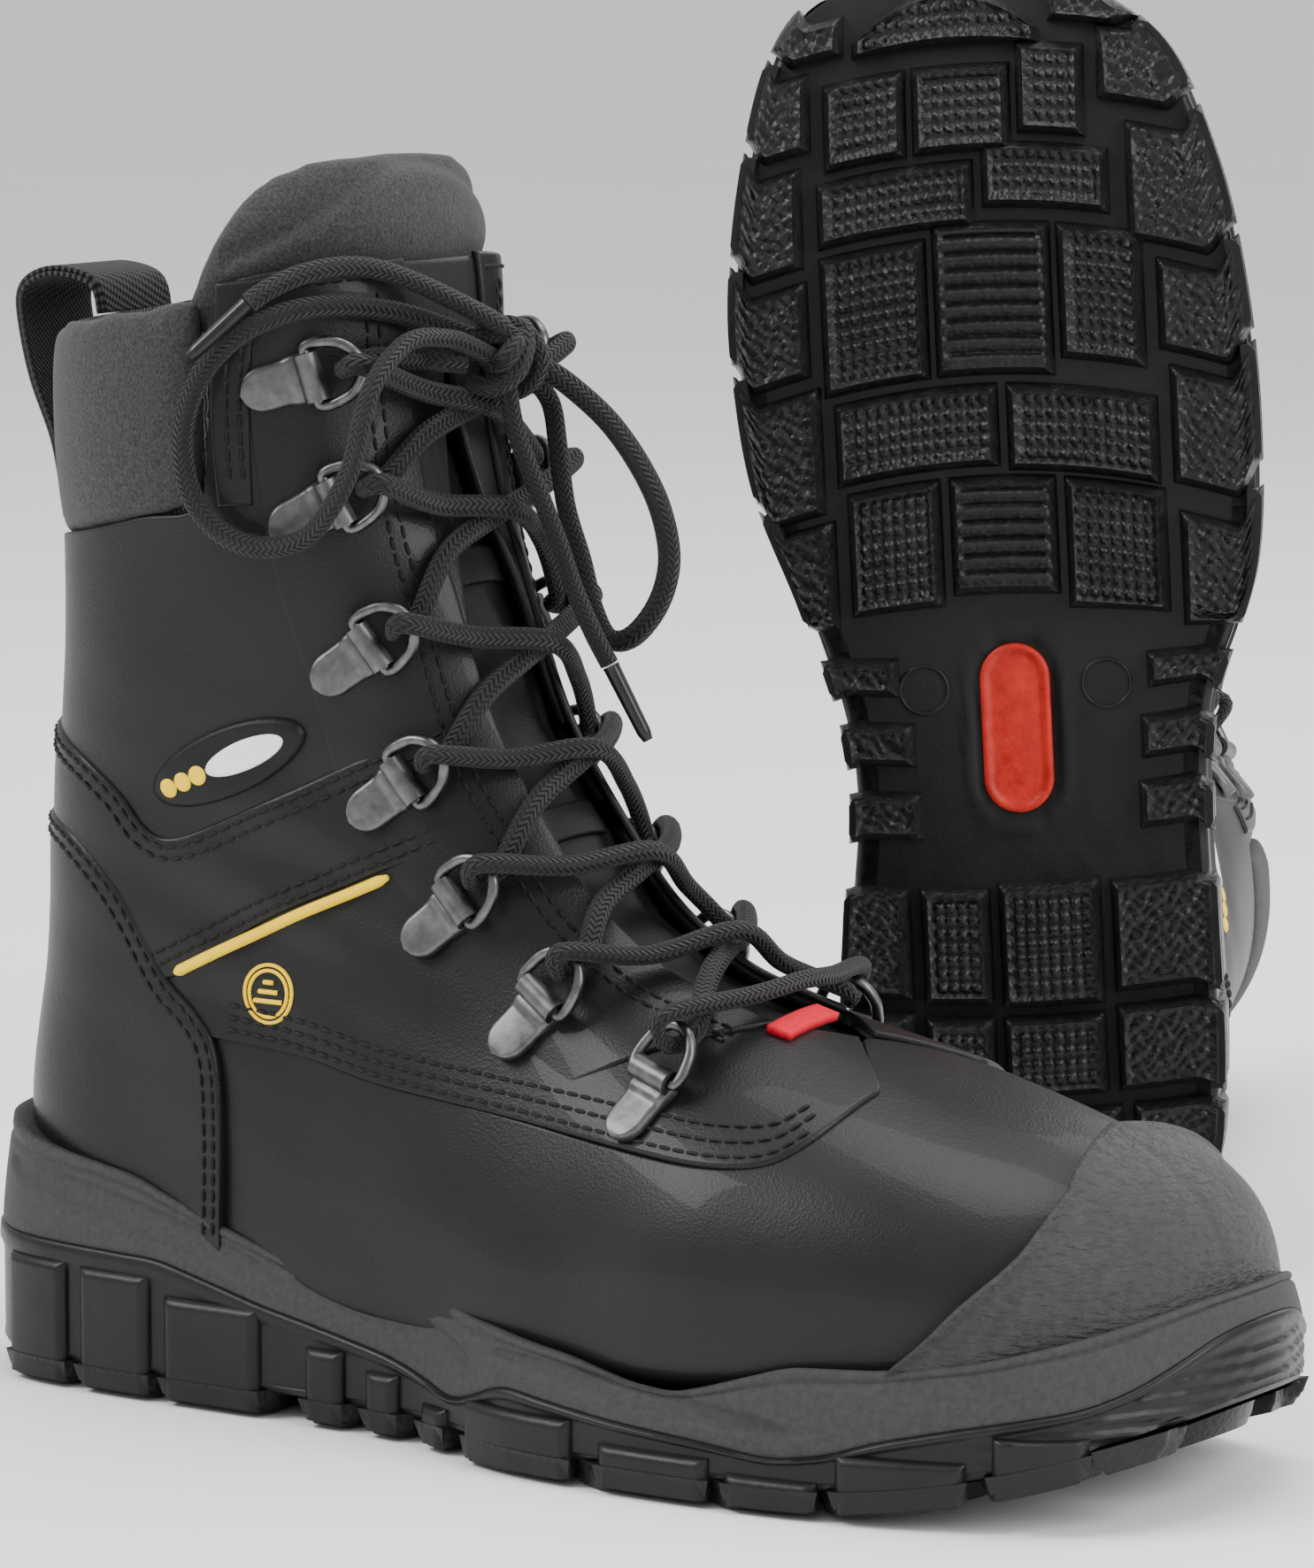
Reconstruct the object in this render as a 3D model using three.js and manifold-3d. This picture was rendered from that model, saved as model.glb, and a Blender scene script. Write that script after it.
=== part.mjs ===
// A pair of lace-up winter work boots with a moulded toe guard, in millimetres, +Z up.
// A boot is made in its own frame: X runs from the back of the heel to the toe, +Y is the inner
// side of the foot and Z is the height above the ground. The right boot stands. The left boot is
// the mirror image of it and lies on its back behind it, with its sole turned to the front.
import * as THREE from "three";
import { mergeVertices } from "three/addons/utils/BufferGeometryUtils.js";
import Module from "manifold-3d";

const wasm = await Module();
wasm.setup();

// ---------- driving dimensions ----------
const FOOT_SCALE = 1; // length of the foot part, 1 is a 300 mm sole
const WIDTH_SCALE = 1; // widths across the foot and the shaft
const SHAFT_SCALE = 1; // heights above the ankle
const ANKLE = 118; // height where the shaft begins
const FIT_GAP = 0.3; // between pieces that touch
const LEATHER = 1.8; // one layer of upper leather
const LINING = 3; // pile lining
const STIFFENER = 1.8; // toe cap, heel stiffener and insole board
const TONGUE = 2.6; // thickness of the tongue
const PAD = 9; // thickness of the pad at the tongue's top
const PAD_HALF = 40; // half width of that pad, along the skin
const PIPING = 1.3;
const BADGE = 1.5;
const GUARD = 4; // thickness of the moulded toe guard
const COLLAR_PUFF = 3; // how far the collar pad stands out of the leather
const PLATE_BOTTOM = 5; // root of the lugs above the ground
const PLATE_TOP = 9; // rubber under the midsole
const SOLE_GAP = 0.6; // between the midsole and the rubber cup
const CUP_WALL = 3; // rubber that wraps up the side of the midsole
const THROAT = 13; // half width of the lacing throat, along the skin
const EYESTAY_EDGE = 50; // far edge of the lacing facing, along the skin from the ridge
const FACING = 1.2; // leather of the lacing facing
const FACING_GAP = 0.7; // under the facing, for its stitching
const TONGUE_HALF = 24; // half width of the tongue, along the skin
const WIRE = 2.4; // wire of the lacing rings
const RING_WIDTH = 13; // lacing ring along its hinge, middle of the wire
const RING_REACH = 11; // from the hinge to the middle of the wire of the bow
const RING_LIFT = 16; // degrees that the lace lifts the rings
const CLIP_PLATE = 1.2; // sheet of the ring clips
const CLIP_WIDTH = 9;
const CLIP_LENGTH = 13;
const CLIP_SINK = 0.5; // clips are pressed into the facing
const LACE = 3.8; // diameter of the braided lace
const LACE_TIP = 3.4; // plastic tip
const LEFT_TURN = 0.4704; // radians that the lying boot's sole is turned from the front
const LEFT_TILT = 0.0424; // its toe leans away
const LEFT_LEAN = 0.0559; // and to its inner side
const LEFT_PLACE = [157.4, 169]; // middle of its heel's back end, from the right boot's
const WEBBING = 2.4; // thickness of the pull loop
const WEBBING_WIDTH = 24;
const SIDE_LUG_DROP = 4; // side lugs end this far under the top of the cup
const SIDE_LUG_PROUD = 1;

// ---------- materials ----------
const paint = (color, roughness, metalness = 0) =>
  new THREE.MeshStandardMaterial({ color, roughness, metalness });
const leatherBlack = paint(0x1b1c1e, 0.5);
const leatherEdge = paint(0x232427, 0.55);
const rubberBlack = paint(0x141516, 0.75);
const foamGrey = paint(0x2b2c2e, 0.8);
const textileGrey = paint(0x3a3b3d, 0.95);
const pileGrey = paint(0x77797b, 1);
const webbingBlack = paint(0x111112, 0.9);
const steelGrey = paint(0x6f6b66, 0.35, 1);
const boardWhite = paint(0xb9b6aa, 0.8);
const capWhite = paint(0xcfd0cd, 0.5);
const braidBlack = paint(0x141416, 0.85);
const tipBlack = paint(0x0f0f10, 0.4);
const pipingYellow = paint(0xe9d21e, 0.5);
const inlayRed = paint(0xc4463e, 0.6);
const tabRed = paint(0xc3263a, 0.8);

// ---------- solids ----------
function toSolid(geometry) {
  const bare = geometry.clone();
  for (const extra of ["normal", "uv"]) bare.deleteAttribute(extra);
  const merged = mergeVertices(bare, 1e-3);
  return new wasm.Manifold(new wasm.Mesh({
    numProp: 3,
    vertProperties: new Float32Array(merged.attributes.position.array),
    triVerts: new Uint32Array(merged.index.array),
  }));
}
function toGeometry(solid) {
  const mesh = solid.getMesh();
  const geometry = new THREE.BufferGeometry();
  geometry.setAttribute("position", new THREE.BufferAttribute(mesh.vertProperties, 3));
  geometry.setIndex(new THREE.BufferAttribute(mesh.triVerts, 1));
  return geometry;
}
const union = (solids) => solids.reduce((all, one) => all.add(one));

// A closed surface from rings of equally many points, counter-clockwise and rising, whose ends are
// closed by strips from one side to the other.
function loft(rings) {
  const count = rings[0].length;
  const index = [];
  const top = (rings.length - 1) * count;
  for (let i = 0; i < count; i++) {
    const j = (i + 1) % count;
    for (let k = 0; k < rings.length - 1; k++) {
      const [a, b, c, d] = [k * count + i, k * count + j, (k + 1) * count + j, (k + 1) * count + i];
      index.push(a, b, c, a, c, d);
    }
  }
  for (let i = 0; i < count / 2; i++) {
    const [a, b, c, d] = [i, i + 1, count - i - 1, (count - i) % count];
    if (b < c) index.push(top + a, top + b, top + c, a, c, b);
    if (a !== d) index.push(top + a, top + c, top + d, a, d, c);
  }
  const geometry = new THREE.BufferGeometry().setFromPoints(rings.flat());
  geometry.setIndex(index);
  return toSolid(geometry);
}
// A closed block over a grid of columns: at(u, v, face) gives the low (0) and the high (1) point.
function slab(nu, nv, at) {
  const points = [];
  for (const face of [0, 1]) {
    for (let i = 0; i <= nu; i++) {
      for (let j = 0; j <= nv; j++) points.push(at(i / nu, j / nv, face));
    }
  }
  const id = (i, j, face) => (face * (nu + 1) + i) * (nv + 1) + j;
  const index = [];
  const quad = (a, b, c, d) => index.push(a, b, c, a, c, d);
  for (let i = 0; i < nu; i++) {
    for (let j = 0; j < nv; j++) {
      quad(id(i, j, 1), id(i + 1, j, 1), id(i + 1, j + 1, 1), id(i, j + 1, 1));
      quad(id(i, j, 0), id(i, j + 1, 0), id(i + 1, j + 1, 0), id(i + 1, j, 0));
    }
    quad(id(i, 0, 0), id(i + 1, 0, 0), id(i + 1, 0, 1), id(i, 0, 1));
    quad(id(i, nv, 1), id(i + 1, nv, 1), id(i + 1, nv, 0), id(i, nv, 0));
  }
  for (let j = 0; j < nv; j++) {
    quad(id(0, j, 0), id(0, j, 1), id(0, j + 1, 1), id(0, j + 1, 0));
    quad(id(nu, j, 1), id(nu, j, 0), id(nu, j + 1, 0), id(nu, j + 1, 1));
  }
  const geometry = new THREE.BufferGeometry().setFromPoints(points);
  geometry.setIndex(index);
  const solid = toSolid(geometry);
  if (solid.volume() > 0) return solid;
  geometry.setIndex(index.reverse());
  return toSolid(geometry);
}

// ---------- scaled places ----------
const placeX = (x) => x * FOOT_SCALE;
const placeY = (y) => y * WIDTH_SCALE;
const placeZ = (z) => (z <= ANKLE ? z : ANKLE + (z - ANKLE) * SHAFT_SCALE);
const sideLine = (points) => points.map(([x, z]) => new THREE.Vector2(placeX(x), placeZ(z)));

// ---------- the last: the closed surface that the outside of the leather follows ----------
// Each section lies in a plane through the ridge point F (toe, vamp, instep, front of the shaft)
// and the back point B (ground side of the foot, heel, back of the shaft).
// Columns: F.x, F.z, B.x, B.z, place of the widest line from B to F, outer half width,
// inner half width, ridge offset to the inner side, squareness of the ridge side and of the back.
const SECTIONS = [
  [295.5, 33, 295.5, 31, 0.45, 0.5, 0.5, 9, 2, 2],
  [295, 42, 294.5, 25, 0.42, 9, 10, 9, 2.1, 2.2],
  [292, 53, 291, 21, 0.4, 23, 21, 9, 2.2, 2.6],
  [287.5, 60, 286, 19.5, 0.38, 31, 28, 9, 2.3, 3],
  [280, 65, 278, 18.5, 0.37, 39, 34, 8.5, 2.35, 3.5],
  [270, 69, 266, 18, 0.36, 46.5, 40.5, 8, 2.4, 4],
  [256, 73.5, 250, 17, 0.36, 51.5, 45.5, 7, 2.35, 4.5],
  [240, 78, 232, 16.5, 0.36, 55, 49.5, 6, 2.3, 5],
  [225, 82.5, 212, 16.5, 0.35, 57, 51.5, 5, 2.2, 5],
  [210, 87, 188, 16.5, 0.33, 57, 50.5, 3.5, 2.1, 5],
  [195, 91.5, 160, 16.5, 0.31, 52, 45, 2.5, 2.1, 5],
  [178, 98, 128, 16.5, 0.28, 46, 40, 1.5, 2.15, 4.5],
  [163, 108, 90, 17, 0.27, 42, 38, 1, 2.3, 4],
  [152, 119, 50, 18, 0.27, 39, 37, 0.5, 2.6, 3],
  [142, 134, 20, 23, 0.28, 36.5, 35.5, 0, 2.7, 2.3],
  [133, 149, 11.5, 50, 0.3, 35.5, 35, 0, 2.7, 2.2],
  [123, 176, 16, 88, 0.38, 38, 37.5, 0, 2.5, 2.2],
  [116, 193, 20, 125, 0.45, 42, 41.5, 0, 2.4, 2.2],
  [111, 215, 23, 172, 0.5, 44.5, 44, 0, 2.4, 2.2],
  [109, 240, 22, 228, 0.5, 46, 45.5, 0, 2.4, 2.2],
  [104, 263, 22, 256, 0.5, 46, 45.5, 0, 2.4, 2.2],
];
const LAST_SECTION = SECTIONS.length - 1;
const SECTION_AT_THROAT = 9.7;

// Catmull-Rom through the rows of a table, at t from 0 to the last row.
function rowAt(rows, t) {
  const last = rows.length - 1;
  const at = THREE.MathUtils.clamp(t, 0, last);
  const i = Math.min(Math.floor(at), last - 1);
  const u = at - i;
  const [a, b, c, d] = [-1, 0, 1, 2].map((k) => rows[THREE.MathUtils.clamp(i + k, 0, last)]);
  return b.map((value, k) => {
    const [p, q] = [(c[k] - a[k]) / 2, (d[k] - value) / 2];
    return value + u * (p + u * (3 * (c[k] - value) - 2 * p - q + u * (p + q - 2 * (c[k] - value))));
  });
}
// One side of a section as points from the ridge to the back, with the way along it.
const SIDE_STEPS = 40;
const sideCurves = new Map();
function sideCurve(t, side) {
  const key = t.toFixed(5) + side;
  if (sideCurves.has(key)) return sideCurves.get(key);
  const [fx, fz, bx, bz, mid, outer, inner, ridge, n1, n2] = rowAt(SECTIONS, t);
  const half = side > 0 ? inner : outer;
  const points = [];
  const lengths = [];
  for (let i = 0; i <= SIDE_STEPS; i++) {
    const angle = (Math.PI * i) / SIDE_STEPS;
    const [c, s] = [Math.cos(angle), Math.max(Math.sin(angle), 0)];
    const n = c > 0 ? n1 : n2;
    const along = c > 0 ? mid + (1 - mid) * c ** (2 / n) : mid - mid * (-c) ** (2 / n);
    const y = ridge + side * half * s ** (2 / n);
    const [x, z] = [bx + (fx - bx) * along, bz + (fz - bz) * along];
    points.push(new THREE.Vector3(placeX(x), placeY(y), placeZ(z)));
    lengths.push(i ? lengths[i - 1] + points[i].distanceTo(points[i - 1]) : 0);
  }
  const curve = { points, lengths, girth: lengths[SIDE_STEPS] };
  sideCurves.set(key, curve);
  return curve;
}
// The point at section t and girth q: 0 on the ridge, -1 and 1 at the back, the outer side negative.
function lastPoint(t, q) {
  const { points, lengths, girth } = sideCurve(t, q < 0 ? -1 : 1);
  const way = Math.min(Math.abs(q), 1) * girth;
  let i = 1;
  while (i < SIDE_STEPS && lengths[i] < way) i++;
  const u = (way - lengths[i - 1]) / Math.max(lengths[i] - lengths[i - 1], 1e-9);
  return points[i - 1].clone().lerp(points[i], u);
}
function lastNormal(t, q) {
  const [dt, dq] = [0.02, 0.01];
  const at = THREE.MathUtils.clamp(t, dt, LAST_SECTION - dt);
  const along = lastPoint(at + dt, q).sub(lastPoint(at - dt, q));
  const around = lastPoint(at, Math.min(q + dq, 1)).sub(lastPoint(at, Math.max(q - dq, -1)));
  return around.cross(along).normalize();
}
const skin = (t, q, offset) => lastPoint(t, q).addScaledVector(lastNormal(t, q), offset);
// The same, with the place around the section given in millimetres from the ridge.
const skinAt = (t, arc, offset) => skin(t, arc / sideCurve(t, Math.sign(arc) || 1).girth, offset);

const TRIES = 9;
const HALF_TRIES = (TRIES - 1) / 2;
// The section and girth of the skin point seen at (x, z) from the outer (-1) or inner (1) side.
function findOnSide(x, z, side) {
  const target = new THREE.Vector2(placeX(x), placeZ(z));
  let best = { t: 10, q: 0.4 * side, miss: Infinity };
  for (let span = 1; span > 1e-4; span /= 2) {
    const { t, q } = best;
    const [reachT, reachQ] = [10 * span, 0.4 * span];
    for (let k = 0; k < TRIES * TRIES; k++) {
      const [i, j] = [(k % TRIES) / HALF_TRIES - 1, Math.floor(k / TRIES) / HALF_TRIES - 1];
      const at = { t: t + i * reachT, q: q + j * reachQ };
      if (at.t < 0 || at.t > LAST_SECTION || at.q * side < 0.04 || Math.abs(at.q) > 0.96) continue;
      const point = lastPoint(at.t, at.q);
      at.miss = Math.hypot(point.x - target.x, point.z - target.y);
      if (at.miss < best.miss) best = at;
    }
  }
  return best;
}

// ---------- the sole's outline seen from above, and its side lines ----------
const OUTLINE = [
  [305.5, 11], [302, 28], [294, 43], [281, 51], [257, 57], [231, 60.5], [210, 60.3], [185, 57],
  [159, 48], [134, 40.5], [112, 38.3], [85, 41], [50, 43.6], [25, 40.5], [11, 29], [5.8, 14], [5, 0],
  [5.8, -14], [11, -29], [25, -40.5], [50, -43.6], [85, -43.5], [112, -43.4], [134, -45.6], [150, -51.5],
  [165, -56], [185, -57.7], [210, -57.5], [235, -55], [257, -50.5], [281, -41.3], [294, -27.3],
  [303, -8],
];
const outlineCurve = new THREE.CatmullRomCurve3(
  OUTLINE.map(([x, y]) => new THREE.Vector3(placeX(x), placeY(y), 0)), true);
// One ring of the sole: the outline moved inward by inset, at the heights that rise gives for the
// place on the ring and for the place on the outline beside it.
function soleRing(steps, inset, rise) {
  const ring = [];
  for (let i = 0; i < steps; i++) {
    const point = outlineCurve.getPoint(i / steps);
    const way = outlineCurve.getTangent(i / steps);
    const edge = point.x / FOOT_SCALE;
    point.x -= way.y * inset;
    point.y += way.x * inset;
    point.z = rise(point.x / FOOT_SCALE, edge);
    ring.push(point);
  }
  return ring;
}
// Where the outline passes x on the outer (-1) or inner (1) side.
function outlineY(x, side) {
  const half = OUTLINE.filter(([, y]) => y * side > 0).sort((a, b) => a[0] - b[0]);
  const after = Math.max(half.findIndex((point) => point[0] >= x), 1);
  const [[x0, y0], [x1, y1]] = [half[after - 1], half[after]];
  return y0 + ((y1 - y0) * (x - x0)) / (x1 - x0);
}
const TOE_SPRING_FROM = 225;
const TOE_SPRING = 0.0026;
const spring = (x) => TOE_SPRING * Math.max(x - TOE_SPRING_FROM, 0) ** 2;
const MIDSOLE_TOP = [
  [0, 57], [24, 52], [56, 47], [81, 38], [100, 32.5], [125, 35], [146, 29], [177, 25.5],
  [192, 22], [211, 23], [230, 29], [250, 30], [270, 33], [290, 38], [306, 44],
];
const CUP_TOP = [
  [0, 32], [65, 30.5], [93, 23.5], [127, 17], [145, 11.5], [162, 17.8], [189, 14.6], [210, 13],
  [228, 11], [240, 13], [250, 16.5], [265, 20], [290, 25], [298, 30], [306, 40],
];
function heightOn(line, x) {
  const after = Math.max(line.findIndex((point) => point[0] >= x), 1);
  const [[x0, z0], [x1, z1]] = [line[after - 1], line[after]];
  return z0 + ((z1 - z0) * THREE.MathUtils.clamp(x - x0, 0, x1 - x0)) / (x1 - x0);
}
const midsoleTop = (x) => heightOn(MIDSOLE_TOP, x);
const cupTop = (x) => heightOn(CUP_TOP, x);

// ---------- seams of the upper, seen from the side, the same on both sides ----------
const COUNTER_EDGE = [[-20, 127], [24, 123], [38, 120], [52, 109], [63, 91], [71, 84], [77, 76],
  [79, 59], [80, 36], [80, -10]];
const VAMP_SEAM = [[77, 80], [98, 77], [150, 70], [183, 67], [206, 66], [219, 68], [226, 73],
  [230, 82], [232, 110]];
const UPPER_SEAM = [[-20, 149], [24, 143], [42, 137], [53, 130], [60, 122], [68, 121], [89, 130],
  [108, 139], [124, 147], [170, 170]];
const LOWER_SEAM = [[58, 91], [89, 105], [117, 117], [128, 122], [190, 150]];
const COLLAR_SEAM = [[-20, 175], [20, 179], [46, 183], [64, 187], [78, 191], [82, 215], [84, 270]];
const TOP_LINE = [[-20, 226], [22, 228], [45, 232], [70, 236], [84, 239], [112, 243], [140, 246]];
const GUARD_EDGE = [[251, 32.5], [256, 37], [262, 43], [271, 52], [274, 62], [273, 90]];

// A block as deep as the boot is wide, standing on an outline seen from the side.
const DEEP = 100;
function sideBlock(outline, yFrom = -DEEP, yTo = DEEP) {
  const shape = new THREE.Shape(sideLine(outline));
  const block = new THREE.ExtrudeGeometry(shape, { depth: yTo - yFrom, bevelEnabled: false });
  return toSolid(block.rotateX(Math.PI / 2).translate(0, yTo, 0));
}
// The slot that a seam leaves between two panels.
function seamSlot(line) {
  const points = sideLine(line);
  const sides = [[], []];
  points.forEach((point, i) => {
    const way = points[Math.min(i + 1, points.length - 1)].clone().sub(points[Math.max(i - 1, 0)]);
    way.normalize().multiplyScalar(FIT_GAP / 2);
    sides[0].push(new THREE.Vector2(point.x - way.y, point.y + way.x));
    sides[1].unshift(new THREE.Vector2(point.x + way.y, point.y - way.x));
  });
  const shape = new THREE.Shape(sides.flat());
  const block = new THREE.ExtrudeGeometry(shape, { depth: 2 * DEEP, bevelEnabled: false });
  return toSolid(block.rotateX(Math.PI / 2).translate(0, DEEP, 0));
}

// ---------- lugs of the sole: a groove pattern seen from below ----------
// Each row: from x, to x, from y, to y.
const MIDDLE_LUGS = [
  [260, 279, 20, 38], [260, 279, -4, 17.5], [264, 284, -21, -6.5],
  [243, 257, 5, 40], [247, 261, -26, 2],
  [209, 240, 16.5, 40], [209, 243, -12, 14], [213, 243, -33, -14.5],
  [188, 206, 1.5, 38], [187, 206, -35, -1.5],
  [157, 185, 15.5, 36], [159, 185, -11, 12.5], [156, 185, -36, -14],
  [66, 92, 8.5, 23.5], [65, 93, -17, 5.5],
  [44, 62, 8.5, 23.5], [44, 62, -17, 5.5],
  [22, 40, 4, 22], [22, 40, -20, 1],
];
// Each row: from x, to x, inner edge on the outer side (negative) or the inner side of the foot.
const SIDE_LUGS = [
  [286, 294, 34], [266, 283, 42], [240, 262, 44.5], [215, 236, 44], [183, 211, 42], [154, 180, 40],
  [137, 145, 27], [121, 130, 24], [104, 114, 23], [67, 92, 27], [44, 63, 27], [22, 40, 25.5],
  [290, 298, -14], [273, 289, -25], [242, 268, -31], [218, 238, -37], [188, 214, -39], [151, 181, -40],
  [136, 144, -31], [120, 129, -29], [104, 114, -28], [67, 92, -20.5], [44, 63, -20.5], [22, 40, -23.5],
];
const LENS_LUG = [[282, -11], [282, 31], [289, 33], [296, 25], [298, 11], [296, -5], [289, -12]];
const LUG_ROOT = 1; // how far a lug reaches into the plate
const LUG_SHORT = 3.5; // the left boot's side lugs end this far inside the outline
function lugBlock(outline, height) {
  const shape = new THREE.Shape(outline.map(([x, y]) => new THREE.Vector2(placeX(x), placeY(y))));
  const block = new THREE.ExtrudeGeometry(shape, { depth: height, bevelEnabled: false });
  const places = block.attributes.position;
  for (let i = 0; i < places.count; i++) {
    places.setZ(i, places.getZ(i) + spring(places.getX(i) / FOOT_SCALE));
  }
  return toSolid(block);
}
// With climb, the side lugs also run up the wall of the cup.
function lugs(climb) {
  const blocks = [lugBlock(LENS_LUG, PLATE_BOTTOM + LUG_ROOT)];
  for (const [x0, x1, y0, y1] of MIDDLE_LUGS) {
    blocks.push(lugBlock([[x0, y0], [x1, y0], [x1, y1], [x0, y1]], PLATE_BOTTOM + LUG_ROOT));
  }
  for (const [x0, x1, inner] of SIDE_LUGS) {
    const side = Math.sign(inner);
    const outer = [x0, x1].map((x) => [x, outlineY(x, side) + side * (climb ? SIDE_LUG_PROUD : -LUG_SHORT)]);
    const outline = [[x1, inner], [x0, inner], ...outer];
    const middle = (x0 + x1) / 2;
    const height = climb ? cupTop(middle) - spring(middle) - SIDE_LUG_DROP : PLATE_BOTTOM + LUG_ROOT;
    blocks.push(lugBlock(side > 0 ? outline.reverse() : outline, height));
  }
  // Round back of the heel.
  const back = [[17, 30], [9.5, 20], [5, 8], [4, 0], [5, -8], [9.5, -20], [17, -30]];
  blocks.push(lugBlock([...back, [18, -18], [18, 18]], cupTop(10) - SIDE_LUG_DROP));
  return union(blocks);
}
const INLAY = { x0: 109, x1: 148, half: 8, depth: 1.5 };
function capsule(grow, zFrom, zTo) {
  const half = INLAY.half + grow;
  const shape = new THREE.Shape();
  shape.absarc(placeX(INLAY.x1 - INLAY.half), 0, half, -Math.PI / 2, Math.PI / 2);
  shape.absarc(placeX(INLAY.x0 + INLAY.half), 0, half, Math.PI / 2, 1.5 * Math.PI);
  const block = new THREE.ExtrudeGeometry(shape, {
    depth: zTo - zFrom, bevelEnabled: false, curveSegments: 5 });
  return toSolid(block.translate(0, 0, zFrom));
}

// ---------- ring clips and lacing rings ----------
// Place of each clip's middle seen from the side: x, z.
const CLIP_PLACES = [[186, 75], [153, 88], [130, 107], [115, 132], [107, 160], [100, 191], [96, 218]];
const EYESTAY_TOP = FACING_GAP + FACING;
const ROLL_RADIUS = WIRE / 2 + FIT_GAP + CLIP_PLATE;
const HINGE_RISE = EYESTAY_TOP + ROLL_RADIUS;
// The clip's own axes: x toward the throat, y along the throat, z out of the skin, zero at the hinge.
function clipFrame([x, z], side) {
  const { t, q } = findOnSide(x, z, side);
  const out = lastNormal(t, q);
  const inward = lastPoint(t, q - 0.02 * side).sub(lastPoint(t, q + 0.02 * side)).normalize();
  const along = out.clone().cross(inward);
  const hinge = lastPoint(t, q).addScaledVector(inward, CLIP_LENGTH / 2 - 1);
  hinge.addScaledVector(out, HINGE_RISE);
  return new THREE.Matrix4().makeBasis(inward, along, out).setPosition(hinge);
}
function clip(frame) {
  const outline = new THREE.Shape();
  outline.moveTo(0, -CLIP_WIDTH / 2);
  outline.lineTo(0, CLIP_WIDTH / 2);
  outline.absarc(-CLIP_LENGTH + CLIP_WIDTH / 2, 0, CLIP_WIDTH / 2, Math.PI / 2, 1.5 * Math.PI);
  const plate = new THREE.ExtrudeGeometry(outline, {
    depth: CLIP_PLATE + CLIP_SINK, bevelEnabled: false, curveSegments: 3 });
  plate.translate(0, 0, -ROLL_RADIUS - CLIP_SINK);
  const ring = new THREE.Shape();
  ring.absarc(0, 0, ROLL_RADIUS, 0, 2 * Math.PI);
  const bore = new THREE.Path();
  bore.absarc(0, 0, (WIRE / 2 + FIT_GAP) / Math.cos(Math.PI / 6), 0, 2 * Math.PI);
  ring.holes.push(bore);
  const roll = new THREE.ExtrudeGeometry(ring, {
    depth: CLIP_WIDTH, bevelEnabled: false, curveSegments: 3 });
  roll.translate(0, 0, -CLIP_WIDTH / 2).rotateX(Math.PI / 2);
  return toSolid(plate).add(toSolid(roll)).transform(frame.elements);
}
const WIRE_SIDES = 6;
// The wire of a lacing ring: a straight bar in the clip and a round bow, in the plane of the ring.
function lacingRing(frame) {
  const half = RING_WIDTH / 2;
  const path = [[0, -half + 1], [0, half - 1], [0.3 * RING_REACH, half], [0.7 * RING_REACH, 0.8 * half],
    [0.95 * RING_REACH, 0.36 * half], [0.95 * RING_REACH, -0.36 * half], [0.7 * RING_REACH, -0.8 * half],
    [0.3 * RING_REACH, -half]];
  const rings = path.map(([x, y], i) => {
    const before = path[(i + path.length - 1) % path.length];
    const after = path[(i + 1) % path.length];
    const way = new THREE.Vector2(after[0] - before[0], after[1] - before[1]).normalize();
    return Array.from({ length: WIRE_SIDES }, (_, k) => {
      const angle = (2 * Math.PI * k) / WIRE_SIDES;
      const reach = (WIRE / 2) * Math.cos(angle);
      return new THREE.Vector3(x + way.y * reach, y - way.x * reach, (WIRE / 2) * Math.sin(angle));
    });
  });
  const index = [];
  const id = (i, k) => (i % path.length) * WIRE_SIDES + (k % WIRE_SIDES);
  for (let i = 0; i < path.length; i++) {
    for (let k = 0; k < WIRE_SIDES; k++) {
      index.push(id(i, k), id(i + 1, k), id(i + 1, k + 1), id(i, k), id(i + 1, k + 1), id(i, k + 1));
    }
  }
  const geometry = new THREE.BufferGeometry().setFromPoints(rings.flat());
  geometry.setIndex(index);
  geometry.rotateY(THREE.MathUtils.degToRad(-RING_LIFT)).applyMatrix4(frame);
  return toSolid(geometry);
}

// ---------- the upper, cut from shells around the last ----------
const EVERYWHERE = [[-60, -40], [400, -40], [400, 400], [-60, 400]];
const outerHalf = sideBlock(EVERYWHERE, -DEEP, -FIT_GAP / 2);
const innerHalf = sideBlock(EVERYWHERE, FIT_GAP / 2, DEEP);
const belowTop = sideBlock([...TOP_LINE, [330, 246], [330, -20], [-20, -20]]);
const collarArea = sideBlock([...COLLAR_SEAM, [-20, 270]]);
const UNDER_LEATHER = -LEATHER - FIT_GAP;
const LINING_SKIN = UNDER_LEATHER - STIFFENER - FIT_GAP; // interlining and stiffeners lie between
const UNDER_LINING = LINING_SKIN - LINING - FIT_GAP;

// Where the facets begin around a half section, and along the boot.
const FACETS_AROUND = [0, 0.09, 0.18, 0.32, 0.5, 0.68, 0.85, 1];
const AROUND = [...FACETS_AROUND.slice(1).reverse().map((q) => -q), ...FACETS_AROUND.slice(0, -1)];
const FINE_SECTIONS = [0, 0.8, 1.8, 3, 4.5, 6, 7.5, 9, 10.2, 11.3, 12.3, 13.1, 13.9, 14.7, 15.5, 16.4,
  17.3, 18.2, 19.1, 20];
const PLAIN_SECTIONS = [0, 1, 2.5, 4.5, 6.5, 8.5, 10.2, 11.7, 13, 14, 15, 16, 17.3, 18.6, 20];
function lastWith(sections) {
  const sock = (offset) => loft(sections.map((t) => AROUND.map((q) => skin(t, q, offset))));
  return { sock, shell: (from, to) => sock(to).subtract(sock(from)) };
}
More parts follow.
